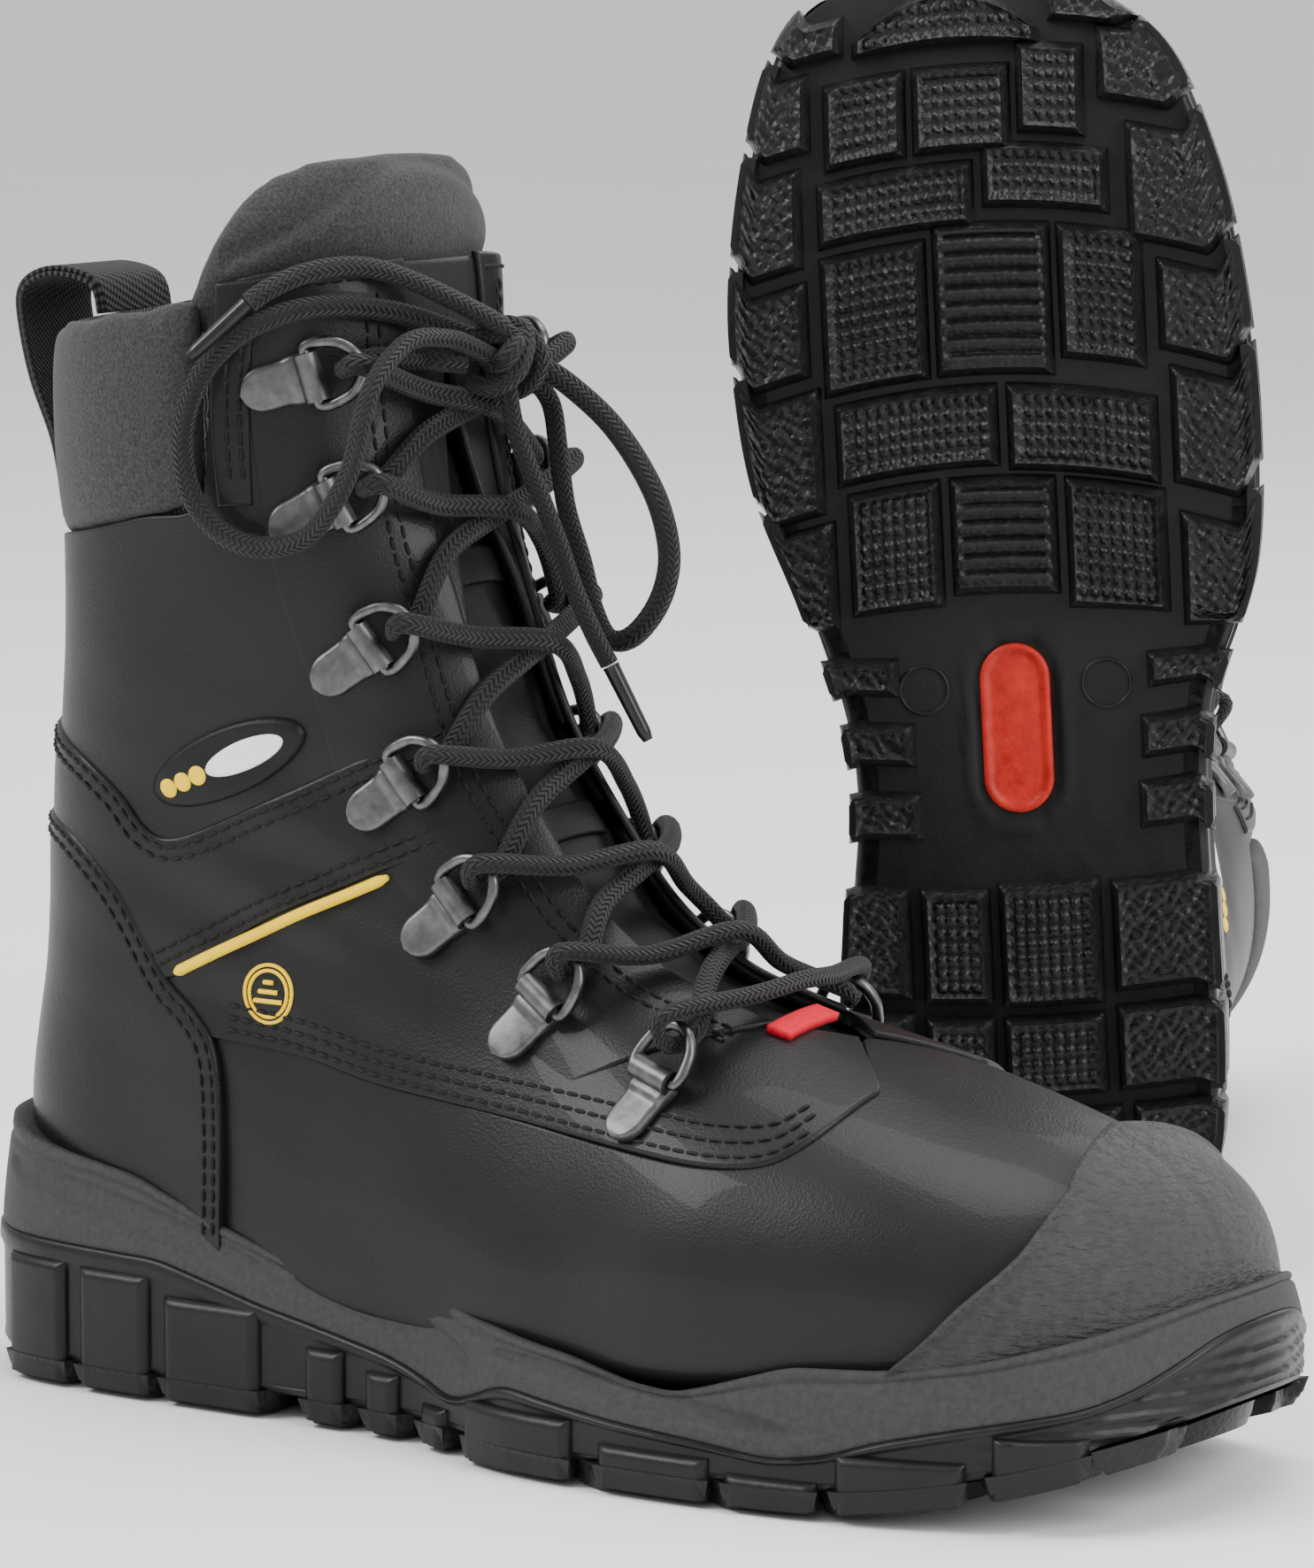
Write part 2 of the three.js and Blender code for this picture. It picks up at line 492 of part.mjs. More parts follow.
// A strip along the throat, as wide as half on both sides of the ridge, from section t upward.
const [CUT_OUT, CUT_IN] = [12, -17]; // how far the cutter reaches from the skin
const throatStrip = (half, t) => slab(9, 4, (u, v, face) =>
  skinAt(t + (LAST_SECTION - t) * u, (2 * v - 1) * half, face ? CUT_OUT : CUT_IN));
const THROAT_FOOT = SECTION_AT_THROAT - 0.35; // the tongue is sewn in under the vamp here
const throat = throatStrip(THROAT, SECTION_AT_THROAT);

function leatherPanels({ shell }) {
  const whole = shell(-LEATHER, 0).intersect(belowTop).subtract(throat);
  let rest = whole;
  for (const seam of [COUNTER_EDGE, VAMP_SEAM, UPPER_SEAM, LOWER_SEAM, COLLAR_SEAM]) {
    rest = rest.subtract(seamSlot(seam));
  }
  const take = (outline) => {
    const area = sideBlock(outline);
    const taken = rest.intersect(area);
    rest = rest.subtract(area);
    return taken;
  };
  const panels = { heel_counter: take([...COUNTER_EDGE, [-20, -10]]) };
  panels.vamp = take([...VAMP_SEAM, [330, 110], [330, -10], [60, -10], [60, 80]]);
  take([...COLLAR_SEAM, [-20, 270]]);
  const shafts = take([...UPPER_SEAM, [170, 270], [-20, 270]]);
  const bands = take([...UPPER_SEAM, ...LOWER_SEAM.slice().reverse(), [-20, 110]]);
  for (const [name, solid] of Object.entries({ shaft_panel: shafts, side_band: bands, quarter: rest })) {
    panels[name + "_outer"] = solid.intersect(outerHalf);
    panels[name + "_inner"] = solid.intersect(innerHalf);
  }
  return panels;
}
const upperInOne = ({ shell }) => shell(LINING_SKIN - LINING, 0).intersect(belowTop)
  .subtract(throatStrip(THROAT, THROAT_FOOT)).subtract(collarArea).subtract(seamSlot(COLLAR_SEAM));
const collarPad = ({ shell }) => shell(-LEATHER, COLLAR_PUFF).intersect(belowTop)
  .intersect(collarArea).subtract(seamSlot(COLLAR_SEAM));
// The guard stands on the midsole, at the given height over its top edge.
function toeGuard({ shell }, rise) {
  const foot = MIDSOLE_TOP.filter(([x]) => x >= 250).reverse().map(([x, z]) => [x, z + rise]);
  const area = sideBlock([...GUARD_EDGE, [330, 90], [330, midsoleTop(306) + rise], ...foot]);
  return shell(FIT_GAP, FIT_GAP + GUARD).intersect(area);
}
const lining = ({ shell }) => shell(LINING_SKIN - LINING, LINING_SKIN).intersect(belowTop)
  .subtract(throatStrip(TONGUE_HALF + 8 * FIT_GAP, THROAT_FOOT));
const footbed = ({ sock }) => sock(UNDER_LINING)
  .intersect(sideBlock([[0, 10], [0, 29], [225, 27], [300, 32], [300, 10]]));
const TONGUE_FROM = SECTION_AT_THROAT - 0.25;
const TONGUE_TO = 19.3;
const TONGUE_SKIN = UNDER_LEATHER - 2.4;
const PAD_FROM = 19.335;
const PAD_SKIN = -1.5;
const tongue = (half) => slab(14, 4, (u, v, face) => skinAt(TONGUE_FROM + (TONGUE_TO - TONGUE_FROM) * u,
  (2 * v - 1) * half, TONGUE_SKIN - (1 - face) * TONGUE));
const tonguePad = () => slab(4, 10, (u, v, face) =>
  skinAt(PAD_FROM + (LAST_SECTION - PAD_FROM) * u, (2 * v - 1) * PAD_HALF, PAD_SKIN - (1 - face) * PAD));
const LABEL = { from: 18.55, to: 19, half: THROAT - 1.5, thick: 1 };
const tongueLabel = () => slab(2, 4, (u, v, face) => skinAt(LABEL.from + (LABEL.to - LABEL.from) * u,
  (2 * v - 1) * LABEL.half, TONGUE_SKIN + FIT_GAP + face * LABEL.thick));
const FACING_FROM = SECTION_AT_THROAT + 0.05;
const FACING_TO = 19.05;
function eyestay(side) {
  const facing = slab(12, 5, (u, v, face) => skinAt(FACING_FROM + (FACING_TO - FACING_FROM) * u,
    side * (THROAT + (EYESTAY_EDGE - THROAT) * v), face ? EYESTAY_TOP : FACING_GAP));
  return union([facing, ...CLIP_PLACES.map((place) => clip(clipFrame(place, side)))]);
}

// ---------- trims ----------
const trimLayer = ({ shell }, thick) => shell(FIT_GAP, FIT_GAP + thick)
  .subtract(throatStrip(EYESTAY_EDGE + FIT_GAP, SECTION_AT_THROAT));
// Piping under the lower edge of the side band.
const PIPING_AREA = [[66, 94.3], [89, 105], [117, 117], [118, 114.6], [89, 102.2], [67, 91.7]];
const BADGE_OVAL = { x: 80, z: 137.5, halfLength: 19, halfHeight: 8, tilt: 0.35, steps: 16 };
function badge(last) {
  const { x, z, halfLength, halfHeight, tilt, steps } = BADGE_OVAL;
  const oval = new THREE.EllipseCurve(x, z, halfLength, halfHeight, 0, 2 * Math.PI, false, tilt);
  const outline = oval.getPoints(steps).slice(0, steps).map((point) => [point.x, point.y]);
  return trimLayer(last, BADGE).intersect(sideBlock(outline, -DEEP, 0));
}
const SIDE_TAB = { from: 9.3, to: 9.6, arc: -17, thick: 1 }; // sewn in at the foot of the throat
const sideTab = () => slab(1, 3, (u, v, face) => skinAt(SIDE_TAB.from + (SIDE_TAB.to - SIDE_TAB.from) * u,
  SIDE_TAB.arc * (1 - v), FIT_GAP + face * SIDE_TAB.thick));

// ---------- the sole ----------
const RIGHT_STEPS = 36; // facets around the sole
const LEFT_STEPS = 28;
const GUARD_SINK = 2; // the left boot's guard is one piece with its midsole
function midsole({ sock }, steps) {
  return loft([
    soleRing(steps, CUP_WALL + 4, (x) => PLATE_TOP + SOLE_GAP + spring(x)),
    soleRing(steps, CUP_WALL + SOLE_GAP, (x) => PLATE_TOP + SOLE_GAP + 0.5 + spring(x)),
    soleRing(steps, CUP_WALL + SOLE_GAP, (x, edge) => cupTop(edge) + SOLE_GAP),
    soleRing(steps, 0.4, (x, edge) => cupTop(edge) + SOLE_GAP),
    soleRing(steps, 1, (x) => midsoleTop(x) - 3),
    soleRing(steps, 3.5, midsoleTop),
    soleRing(steps, 16, midsoleTop),
  ]).subtract(sock(FIT_GAP));
}
function outsole(steps, climb) {
  const outside = loft([
    soleRing(steps, 2.5, (x) => PLATE_BOTTOM + spring(x)),
    soleRing(steps, 0.5, (x) => PLATE_BOTTOM + 2 + spring(x)),
    soleRing(steps, 0, (x, edge) => cupTop(edge)),
  ]);
  const hollow = loft([
    soleRing(steps, CUP_WALL, (x) => PLATE_TOP + spring(x)),
    soleRing(steps, CUP_WALL, (x, edge) => cupTop(edge) + 20),
  ]);
  const pocket = capsule(FIT_GAP, -1, PLATE_BOTTOM + INLAY.depth);
  return outside.add(lugs(climb)).subtract(hollow).subtract(pocket);
}
const soleInlay = () => capsule(0, PLATE_BOTTOM - 1.2, PLATE_BOTTOM + INLAY.depth - FIT_GAP);

// ---------- pull loop: a strap from the collar seam over the top of the collar ----------
const LOOP_OPEN = 7; // place of the strap's outer face behind the collar
const LOOP_PRESSED = 14; // under the lying boot it is pressed flat
function pullLoop(reach) {
  const line = [[19.05, 184], [15.9, 200], [reach, 226], [reach, 232], [reach + 4, 235],
    [(reach + 27) / 2, 235.5], [27, 233.5]].map(([x, z]) => new THREE.Vector2(placeX(x), placeZ(z)));
  const sides = [[], []];
  line.forEach((point, i) => {
    const way = line[Math.min(i + 1, line.length - 1)].clone().sub(line[Math.max(i - 1, 0)]);
    const across = new THREE.Vector2(-way.y, way.x).setLength(WEBBING);
    sides[0].push(point.clone());
    sides[1].unshift(point.clone().add(across));
  });
  const shape = new THREE.Shape(sides.flat());
  const strap = new THREE.ExtrudeGeometry(shape, { depth: WEBBING_WIDTH, bevelEnabled: false });
  return toSolid(strap.rotateX(Math.PI / 2).translate(0, WEBBING_WIDTH / 2, 0));
}

// ---------- lace ----------
// A cord of round section through points chosen by hand.
const CORD_SIDES = 8;
function cord(points, diameter = LACE, tipDiameter = diameter) {
  const places = points.map(([x, y, z]) => new THREE.Vector3(placeX(x), placeY(y), placeZ(z)));
  const last = places.length - 1;
  let across = new THREE.Vector3(0.1, 0.2, 1);
  const rings = places.map((place, i) => {
    const way = places[Math.min(i + 1, last)].clone().sub(places[Math.max(i - 1, 0)]).normalize();
    across = across.clone().addScaledVector(way, -across.dot(way)).normalize();
    const third = way.clone().cross(across);
    const radius = (i === last ? tipDiameter : diameter) / 2;
    return Array.from({ length: CORD_SIDES }, (_, k) => {
      const angle = (2 * Math.PI * k) / CORD_SIDES;
      return place.clone().addScaledVector(across, radius * Math.cos(angle))
        .addScaledVector(third, radius * Math.sin(angle));
    });
  });
  return loft(rings);
}
// At each pair of rings, from the toe upward: around the bow, from over it to under it.
// The places are those of the inner side, and y is negated on the outer side.
const AT_RINGS = [
  [[191, 36.5, 94.5], [189.5, 37, 89.5], [190.5, 32.5, 87.5], [192.5, 28.5, 90.5]],
  [[163.5, 34, 104.5], [161, 32.5, 100], [160.5, 28, 99], [163.5, 25.5, 102.5]],
  [[143.5, 34.5, 121], [139.5, 33, 117], [139.5, 28, 116.5], [143, 26.5, 119.5]],
  [[130.5, 33, 142.5], [126.5, 31.5, 140], [126, 27, 140], [129.5, 25, 143]],
  [[124.5, 34.5, 169.5], [119.5, 32, 167], [118, 27.5, 167.5], [121.5, 25, 170.5]],
  [[119.5, 35, 198], [114, 34, 196.5], [111.5, 29.5, 197], [115, 26.5, 199]],
  [[116, 37, 222.5], [110.5, 36.5, 221], [108.5, 32, 221.5], [112, 29, 223]],
];
// Between them: beside the ridge on leaving, on the ridge below and above the other strand, and
// beside the ridge on arriving.
const BETWEEN_RINGS = [
  [[186, 14.5, 97.5], [181.5, 1.5, 101.5], [183.5, 1.5, 106], [174, 18, 102.5]],
  [[161, 16, 111.5], [160, 0.5, 117], [163, 0.5, 121], [154.5, 18.5, 119.5]],
  [[145, 17, 131.5], [144.5, 0, 138.5], [148.5, 0, 141.5], [139, 17.5, 140.5]],
  [[132.5, 17, 153.5], [133, 0, 161], [138, 0, 163], [129.5, 18, 165.5]],
  [[123, 17, 182.5], [122.5, 0, 188.5], [127.5, 0, 190.5], [121, 17.5, 192.5]],
  [[116.5, 16, 206.5], [116.5, 0, 211], [121.5, 0, 212], [117, 17, 216]],
];
const LACE_START = [199, 1.5, 97];
const LACE_BESIDE = [197.5, 15, 96];
const KNOT = { x: 125, y: 3, z: 221, halfX: 6, halfY: 10, halfZ: 6.5 };
// Where the strands go into the knot, on the outer and the inner side.
const OUTER_END = [[115, -17, 222.5], [119, -13.5, 222], [122, -9, 221.5]];
const INNER_END = [[115, 17, 222.5], [120, 13.5, 221.5]];
// One strand from the toe to the knot, starting at the rings of the given side.
function laceStrand(startSide) {
  let side = startSide;
  const flip = ([x, y, z]) => [x, y * side, z];
  const route = [flip(LACE_BESIDE)];
  AT_RINGS.forEach((places, i) => {
    route.push(...places.map(flip));
    if (i === BETWEEN_RINGS.length) return;
    const [leaving, below, above, arriving] = BETWEEN_RINGS[i];
    const over = (i % 2 === 0) === (startSide > 0);
    route.push(flip(leaving), over ? above : below);
    side = -side;
    route.push(flip(arriving));
  });
  return route.concat(side > 0 ? INNER_END : OUTER_END);
}
const laceRoute = [...laceStrand(-1).reverse(), LACE_START, ...laceStrand(1)];
const OUTER_LOOP = [[121, -3, 225.5], [113, -20, 232], [105, -38, 234], [95, -47, 230], [86, -50, 222],
  [81, -51, 212], [80, -51, 203], [82, -50, 194], [88, -48, 187], [97, -46, 184.5], [107, -45, 187],
  [114, -45, 194], [118, -44, 202], [120, -43, 211], [121, -39, 220], [122, -29, 227], [123, -17, 227],
  [124, -10, 225]];
const INNER_LOOP = [[131, 8, 219], [136, 11, 215], [143, 14, 208], [150, 15, 199], [155, 15, 190],
  [157, 15, 180], [155, 14, 171], [150, 12, 164], [144, 12, 163], [140, 12, 169], [137, 12, 179],
  [133, 12, 190], [131, 12, 202], [129, 12, 212]];
const OUTER_TAIL = [[127, -2.5, 228.5], [120, -12, 235], [113, -21, 240], [108, -29, 242], [103, -38, 241],
  [98, -44, 238], [95, -47.5, 235]];
const OUTER_TIP = [[94.7, -47.9, 234.7], [86, -56, 224]];
const INNER_TAIL = [[128, -2, 215.3], [131, -3, 206], [136, -2, 194], [140, -1, 184], [143, 0, 175],
  [147, 1, 166], [150, 3, 159]];
const INNER_TIP = [[150.2, 3.2, 158.6], [157, 7, 143]];

// ---------- assembly ----------
const pair = new THREE.Group();
function addTo(parent, name, solid, material) {
  const mesh = new THREE.Mesh(toGeometry(solid), material);
  mesh.name = name;
  parent.add(mesh);
}
const right = new THREE.Group();
const fine = lastWith(FINE_SECTIONS);
for (const [name, solid] of Object.entries(leatherPanels(fine))) {
  addTo(right, name, solid, leatherBlack);
}
addTo(right, "collar_pad", collarPad(fine), textileGrey);
addTo(right, "toe_guard", toeGuard(fine, 3 * FIT_GAP), foamGrey);
const stiffLayer = fine.shell(UNDER_LEATHER - STIFFENER, UNDER_LEATHER);
const STIFFENERS = {
  toe_cap: [capWhite, [[240, 10], [244, 100], [330, 100], [330, 10]]],
  heel_stiffener: [boardWhite, [[-20, 22], [-20, 92], [30, 92], [62, 70], [74, 22]]],
  insole_board: [boardWhite, [[24, 10], [24, 21.5], [226, 21.5], [226, 10]]],
};
for (const [name, [material, outline]] of Object.entries(STIFFENERS)) {
  addTo(right, name, stiffLayer.intersect(sideBlock(outline)), material);
}
addTo(right, "lining", lining(fine), pileGrey);
addTo(right, "footbed", footbed(fine), textileGrey);
addTo(right, "tongue", tongue(TONGUE_HALF), leatherEdge);
addTo(right, "tongue_pad", tonguePad(), textileGrey);
addTo(right, "tongue_label", tongueLabel(), webbingBlack);
addTo(right, "eyestay_outer", eyestay(-1), leatherEdge);
addTo(right, "eyestay_inner", eyestay(1), leatherEdge);
CLIP_PLACES.forEach((place, i) => {
  for (const [word, side] of [["outer", -1], ["inner", 1]]) {
    addTo(right, `lacing_ring_${word}_${i + 1}`, lacingRing(clipFrame(place, side)), steelGrey);
  }
});
const piping = trimLayer(fine, PIPING).intersect(sideBlock(PIPING_AREA));
addTo(right, "piping_outer", piping.intersect(outerHalf), pipingYellow);
addTo(right, "piping_inner", piping.intersect(innerHalf), pipingYellow);
addTo(right, "badge", badge(fine), rubberBlack);
addTo(right, "side_tab", sideTab(), tabRed);
addTo(right, "midsole", midsole(fine, RIGHT_STEPS), foamGrey);
addTo(right, "outsole", outsole(RIGHT_STEPS, true), rubberBlack);
addTo(right, "sole_inlay", soleInlay(), inlayRed);
addTo(right, "pull_loop", pullLoop(LOOP_OPEN), webbingBlack);
addTo(right, "lace", cord(laceRoute), braidBlack);
const knotShape = new THREE.SphereGeometry(1, 10, 7).scale(KNOT.halfX, KNOT.halfY, KNOT.halfZ);
knotShape.translate(placeX(KNOT.x), placeY(KNOT.y), placeZ(KNOT.z));
addTo(right, "lace_knot", toSolid(knotShape), braidBlack);
addTo(right, "lace_loop_outer", cord(OUTER_LOOP), braidBlack);
addTo(right, "lace_loop_inner", cord(INNER_LOOP), braidBlack);
addTo(right, "lace_tail_outer", cord(OUTER_TAIL), braidBlack);
addTo(right, "lace_tail_inner", cord(INNER_TAIL), braidBlack);
addTo(right, "lace_tip_outer", cord(OUTER_TIP, LACE_TIP, 0.8 * LACE_TIP), tipBlack);
addTo(right, "lace_tip_inner", cord(INNER_TIP, LACE_TIP, 0.8 * LACE_TIP), tipBlack);

// The left boot, with fewer separate parts.
const left = new THREE.Group();
const plain = lastWith(PLAIN_SECTIONS);
addTo(left, "left_upper", upperInOne(plain), leatherBlack);
addTo(left, "left_collar_pad", collarPad(plain), textileGrey);
addTo(left, "left_footbed", footbed(plain), textileGrey);
addTo(left, "left_midsole", midsole(plain, LEFT_STEPS).add(toeGuard(plain, -GUARD_SINK)), foamGrey);
addTo(left, "left_outsole", outsole(LEFT_STEPS, false), rubberBlack);
addTo(left, "left_sole_inlay", soleInlay(), inlayRed);
addTo(left, "left_tongue", tongue(THROAT - 5 * FIT_GAP), leatherEdge);
addTo(left, "left_pull_loop", pullLoop(LOOP_PRESSED), webbingBlack);
left.scale.set(1, -1, 1);
const lying = new THREE.Group();
lying.add(left);
const away = new THREE.Vector3(-Math.sin(LEFT_TURN), Math.cos(LEFT_TURN), 0);
const sideways = new THREE.Vector3(Math.cos(LEFT_TURN), Math.sin(LEFT_TURN), 0);
const up = new THREE.Vector3(0, 0, 1).addScaledVector(away, Math.tan(LEFT_TILT));
up.addScaledVector(sideways, -Math.tan(LEFT_LEAN)).normalize();
const across = away.clone().cross(up).normalize();
lying.applyMatrix4(new THREE.Matrix4().makeBasis(up, across, up.clone().cross(across)));
lying.position.set(...LEFT_PLACE, 0);
lying.position.z = -boxOf(lying).min.z;
pair.add(right, lying);

// The pair stands with the middle of its box over the origin. The laces don't count.
function boxOf(boots) {
  const box = new THREE.Box3();
  boots.updateMatrixWorld(true);
  boots.traverse((node) => {
    if (node.isMesh && !node.name.startsWith("lace")) box.expandByObject(node, true);
  });
  return box;
}
const middle = boxOf(pair).getCenter(new THREE.Vector3()).setZ(0);
for (const boot of [right, lying]) boot.position.sub(middle);
export default pair;
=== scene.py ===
"""A pair of black lace-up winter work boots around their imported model, in metres.

Each boot is made in its own frame in millimetres, as the CAD is: X from the heel to the toe, +Y to
the inner side of the foot and Z up. A Boot then places its pieces in the row frame. The right boot
stands, and the left boot is its mirror image and lies on its back behind it.
"""
import math
import bpy
import numpy as np
from mathutils import Matrix, Vector


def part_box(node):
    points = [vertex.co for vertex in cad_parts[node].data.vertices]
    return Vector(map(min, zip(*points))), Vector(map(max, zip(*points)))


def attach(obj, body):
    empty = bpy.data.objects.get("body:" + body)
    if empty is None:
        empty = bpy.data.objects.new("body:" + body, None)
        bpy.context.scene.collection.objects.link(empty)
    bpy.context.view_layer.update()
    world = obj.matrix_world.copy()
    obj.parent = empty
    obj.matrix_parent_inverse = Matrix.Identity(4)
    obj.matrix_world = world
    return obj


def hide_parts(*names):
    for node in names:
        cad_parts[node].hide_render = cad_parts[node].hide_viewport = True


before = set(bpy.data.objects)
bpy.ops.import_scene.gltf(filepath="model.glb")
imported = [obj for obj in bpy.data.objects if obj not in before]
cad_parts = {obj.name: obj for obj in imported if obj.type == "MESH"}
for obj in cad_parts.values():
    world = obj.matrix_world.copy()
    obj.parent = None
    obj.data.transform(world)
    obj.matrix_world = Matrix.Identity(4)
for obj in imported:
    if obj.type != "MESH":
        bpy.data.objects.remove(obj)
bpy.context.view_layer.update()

MM = 0.001
TAU = 2 * math.pi

# ---------- places of the two boots ----------
TOE_X = 305.5  # front of the sole in a boot's own frame
INLAY_MIDDLE = (128.5, 0, 5)  # middle of the sole inlay in a boot's own frame
LEFT_TURN, LEFT_TILT, LEFT_LEAN = 0.4704, 0.0424, 0.0559  # of the lying boot, as in the CAD


def middle_of(node):
    low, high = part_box(node)
    return (np.array(low) + np.array(high)) / 2 / MM


def standing_matrix():
    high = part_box("outsole")[1]
    matrix = np.eye(4)
    matrix[:2, 3] = high[0] / MM - TOE_X, middle_of("sole_inlay")[1]
    return matrix


def lying_matrix():
    away = np.array([-math.sin(LEFT_TURN), math.cos(LEFT_TURN), 0])
    sideways = np.array([math.cos(LEFT_TURN), math.sin(LEFT_TURN), 0])
    up = np.array([0, 0, 1.0]) + away * math.tan(LEFT_TILT) - sideways * math.tan(LEFT_LEAN)
    up /= np.linalg.norm(up)
    across = np.cross(away, up)
    across /= np.linalg.norm(across)
    matrix = np.eye(4)
    matrix[:3, :3] = np.stack([up, -across, np.cross(up, across)], axis=1)
    matrix[:3, 3] = middle_of("left_sole_inlay") - matrix[:3, :3] @ np.array(INLAY_MIDDLE)
    return matrix


class Boot:
    def __init__(self, word, body, matrix):
        self.word, self.body, self.matrix = word, body, matrix
        self.mirrored = np.linalg.det(matrix[:3, :3]) < 0

    def place(self, points):
        return (np.asarray(points) @ self.matrix[:3, :3].T + self.matrix[:3, 3]) * MM


RIGHT = Boot("right", "right_boot", standing_matrix())
LEFT = Boot("left", "left_boot", lying_matrix())

# ---------- camera, floor and light ----------
CAMERA_PLACE = (960.33, -1189.62, 332.96)  # in the right boot's frame
CAMERA_TURN, CAMERA_PITCH = 0.58992, 0.13732
LENS = 159.95


def make_camera():
    data = bpy.data.cameras.new("camera")
    data.lens = LENS
    data.sensor_width = 36
    data.clip_end = 100
    camera = bpy.data.objects.new("camera", data)
    bpy.context.scene.collection.objects.link(camera)
    turn, pitch = CAMERA_TURN, CAMERA_PITCH
    back = Vector((math.sin(turn) * math.cos(pitch), -math.cos(turn) * math.cos(pitch), math.sin(pitch)))
    right = Vector((math.cos(turn), math.sin(turn), 0))
    up = back.cross(right)
    rotation = Matrix((right, up, back)).transposed().to_4x4()
    camera.matrix_world = Matrix.Translation(Vector(RIGHT.place(CAMERA_PLACE))) @ rotation
    bpy.context.scene.camera = camera


def area_light(name, place, aim, size, power):
    data = bpy.data.lights.new(name, "AREA")
    data.shape = "RECTANGLE"
    data.size, data.size_y = size
    data.energy = power
    light = bpy.data.objects.new(name, data)
    bpy.context.scene.collection.objects.link(light)
    light.location = place
    light.rotation_euler = (Vector(aim) - Vector(place)).to_track_quat("-Z", "Y").to_euler()


def make_light():
    world = bpy.data.worlds.new("studio")
    world.use_nodes = True
    background = world.node_tree.nodes["Background"]
    background.inputs["Color"].default_value = (1, 1, 1, 1)
    background.inputs["Strength"].default_value = 0.88
    bpy.context.scene.world = world
    middle = (0, 0, 0.13)
    area_light("key", (-1.1, -1.3, 1.5), middle, (1.0, 0.7), 34)
    area_light("right", (1.5, -0.2, 0.9), middle, (0.6, 1.2), 22)
    area_light("top", (0.1, 0.2, 1.9), middle, (1.1, 1.1), 22)
    area_light("back", (0.2, 1.6, 1.0), middle, (1.4, 0.8), 8)


# ---------- materials ----------
def new_material(name):
    material = bpy.data.materials.new(name)
    material.use_nodes = True
    tree = material.node_tree
    return material, tree, tree.nodes["Principled BSDF"]


def node(tree, kind, links=(), **values):
    made = tree.nodes.new(kind)
    for key, value in values.items():
        if hasattr(made, key):
            setattr(made, key, value)
        else:
            made.inputs[key.replace("_", " ")].default_value = value
    for socket, source in dict(links).items():
        tree.links.new(source, made.inputs[socket])
    return made


def noise(tree, where, scale, detail=3.0, roughness=0.55):
    made = node(tree, "ShaderNodeTexNoise", {"Vector": where}, Scale=scale, Detail=detail)
    made.inputs["Roughness"].default_value = roughness
    return made.outputs["Fac"]


def cells(tree, where, scale, feature="F1"):
    made = node(tree, "ShaderNodeTexVoronoi", {"Vector": where}, feature=feature, Scale=scale)
    return made.outputs["Distance"]


def math_node(tree, operation, first, second):
    made = node(tree, "ShaderNodeMath", operation=operation)
    for socket, value in zip(made.inputs, (first, second)):
        if isinstance(value, (int, float)):
            socket.default_value = value
        else:
            tree.links.new(value, socket)
    return made.outputs[0]


def bump_chain(tree, heights):
    """Bumps one after another: (height socket, strength, distance in metres)."""
    normal = None
    for height, strength, distance in heights:
        bump = node(tree, "ShaderNodeBump", {"Height": height}, Strength=strength, Distance=distance)
        if normal:
            tree.links.new(normal, bump.inputs["Normal"])
        normal = bump.outputs["Normal"]
    return normal


def tint(tree, factor, dark, light, low=0.3, high=0.7):
    ramp = node(tree, "ShaderNodeValToRGB", {"Fac": factor})
    ramp.color_ramp.elements[0].position, ramp.color_ramp.elements[1].position = low, high
    ramp.color_ramp.elements[0].color = (*dark, 1)
    ramp.color_ramp.elements[1].color = (*light, 1)
    return ramp.outputs["Color"]


def grey(value):
    return (value, value, value * 1.03)


def surface(name, colors, roughness, bumps, metallic=0.0, sheen=0.0, coat=0.0, pattern=None):
    """colors: (dark, light, scale of the mottling); roughness: (low, high); bumps: see bump_chain."""
    material, tree, shader = new_material(name)
    where = node(tree, "ShaderNodeTexCoord").outputs["Object"]
    dark, light, scale = colors
    mottle = noise(tree, where, scale)
    factor = pattern(tree, where) if pattern else mottle
    tree.links.new(tint(tree, factor, dark, light), shader.inputs["Base Color"])
    spread = node(tree, "ShaderNodeMapRange", {"Value": mottle})
    spread.inputs["To Min"].default_value, spread.inputs["To Max"].default_value = roughness
    tree.links.new(spread.outputs["Result"], shader.inputs["Roughness"])
    tree.links.new(bump_chain(tree, bumps(tree, where)), shader.inputs["Normal"])
    shader.inputs["Metallic"].default_value = metallic
    shader.inputs["Sheen Weight"].default_value = sheen
    shader.inputs["Coat Weight"].default_value = coat
    shader.inputs["Specular IOR Level"].default_value = 0.5 if metallic else 0.24
    return material


def uv_wave(tree, across, along, turns, pitch):
    """Ridges that run slantwise round a cord: turns round it and one ridge for each pitch."""
    phase = math_node(tree, "ADD", math_node(tree, "MULTIPLY", across, turns * TAU),
                      math_node(tree, "MULTIPLY", along, TAU / pitch))
    return math_node(tree, "SINE", phase, 0)


def braid_bumps(tree, where):
    """Chevrons of yarn, six columns round the lace."""
    uv = node(tree, "ShaderNodeSeparateXYZ", {0: node(tree, "ShaderNodeTexCoord").outputs["UV"]})
    zigzag = math_node(tree, "PINGPONG", math_node(tree, "MULTIPLY", uv.outputs["X"], 6), 0.5)
    phase = math_node(tree, "ADD", math_node(tree, "MULTIPLY", zigzag, TAU * 1.7),
                      math_node(tree, "MULTIPLY", uv.outputs["Y"], TAU / 1.5))
    yarn = math_node(tree, "SINE", phase, 0)
    return [(yarn, 1.0, 0.0003), (noise(tree, where, 2500), 0.3, 0.0001)]


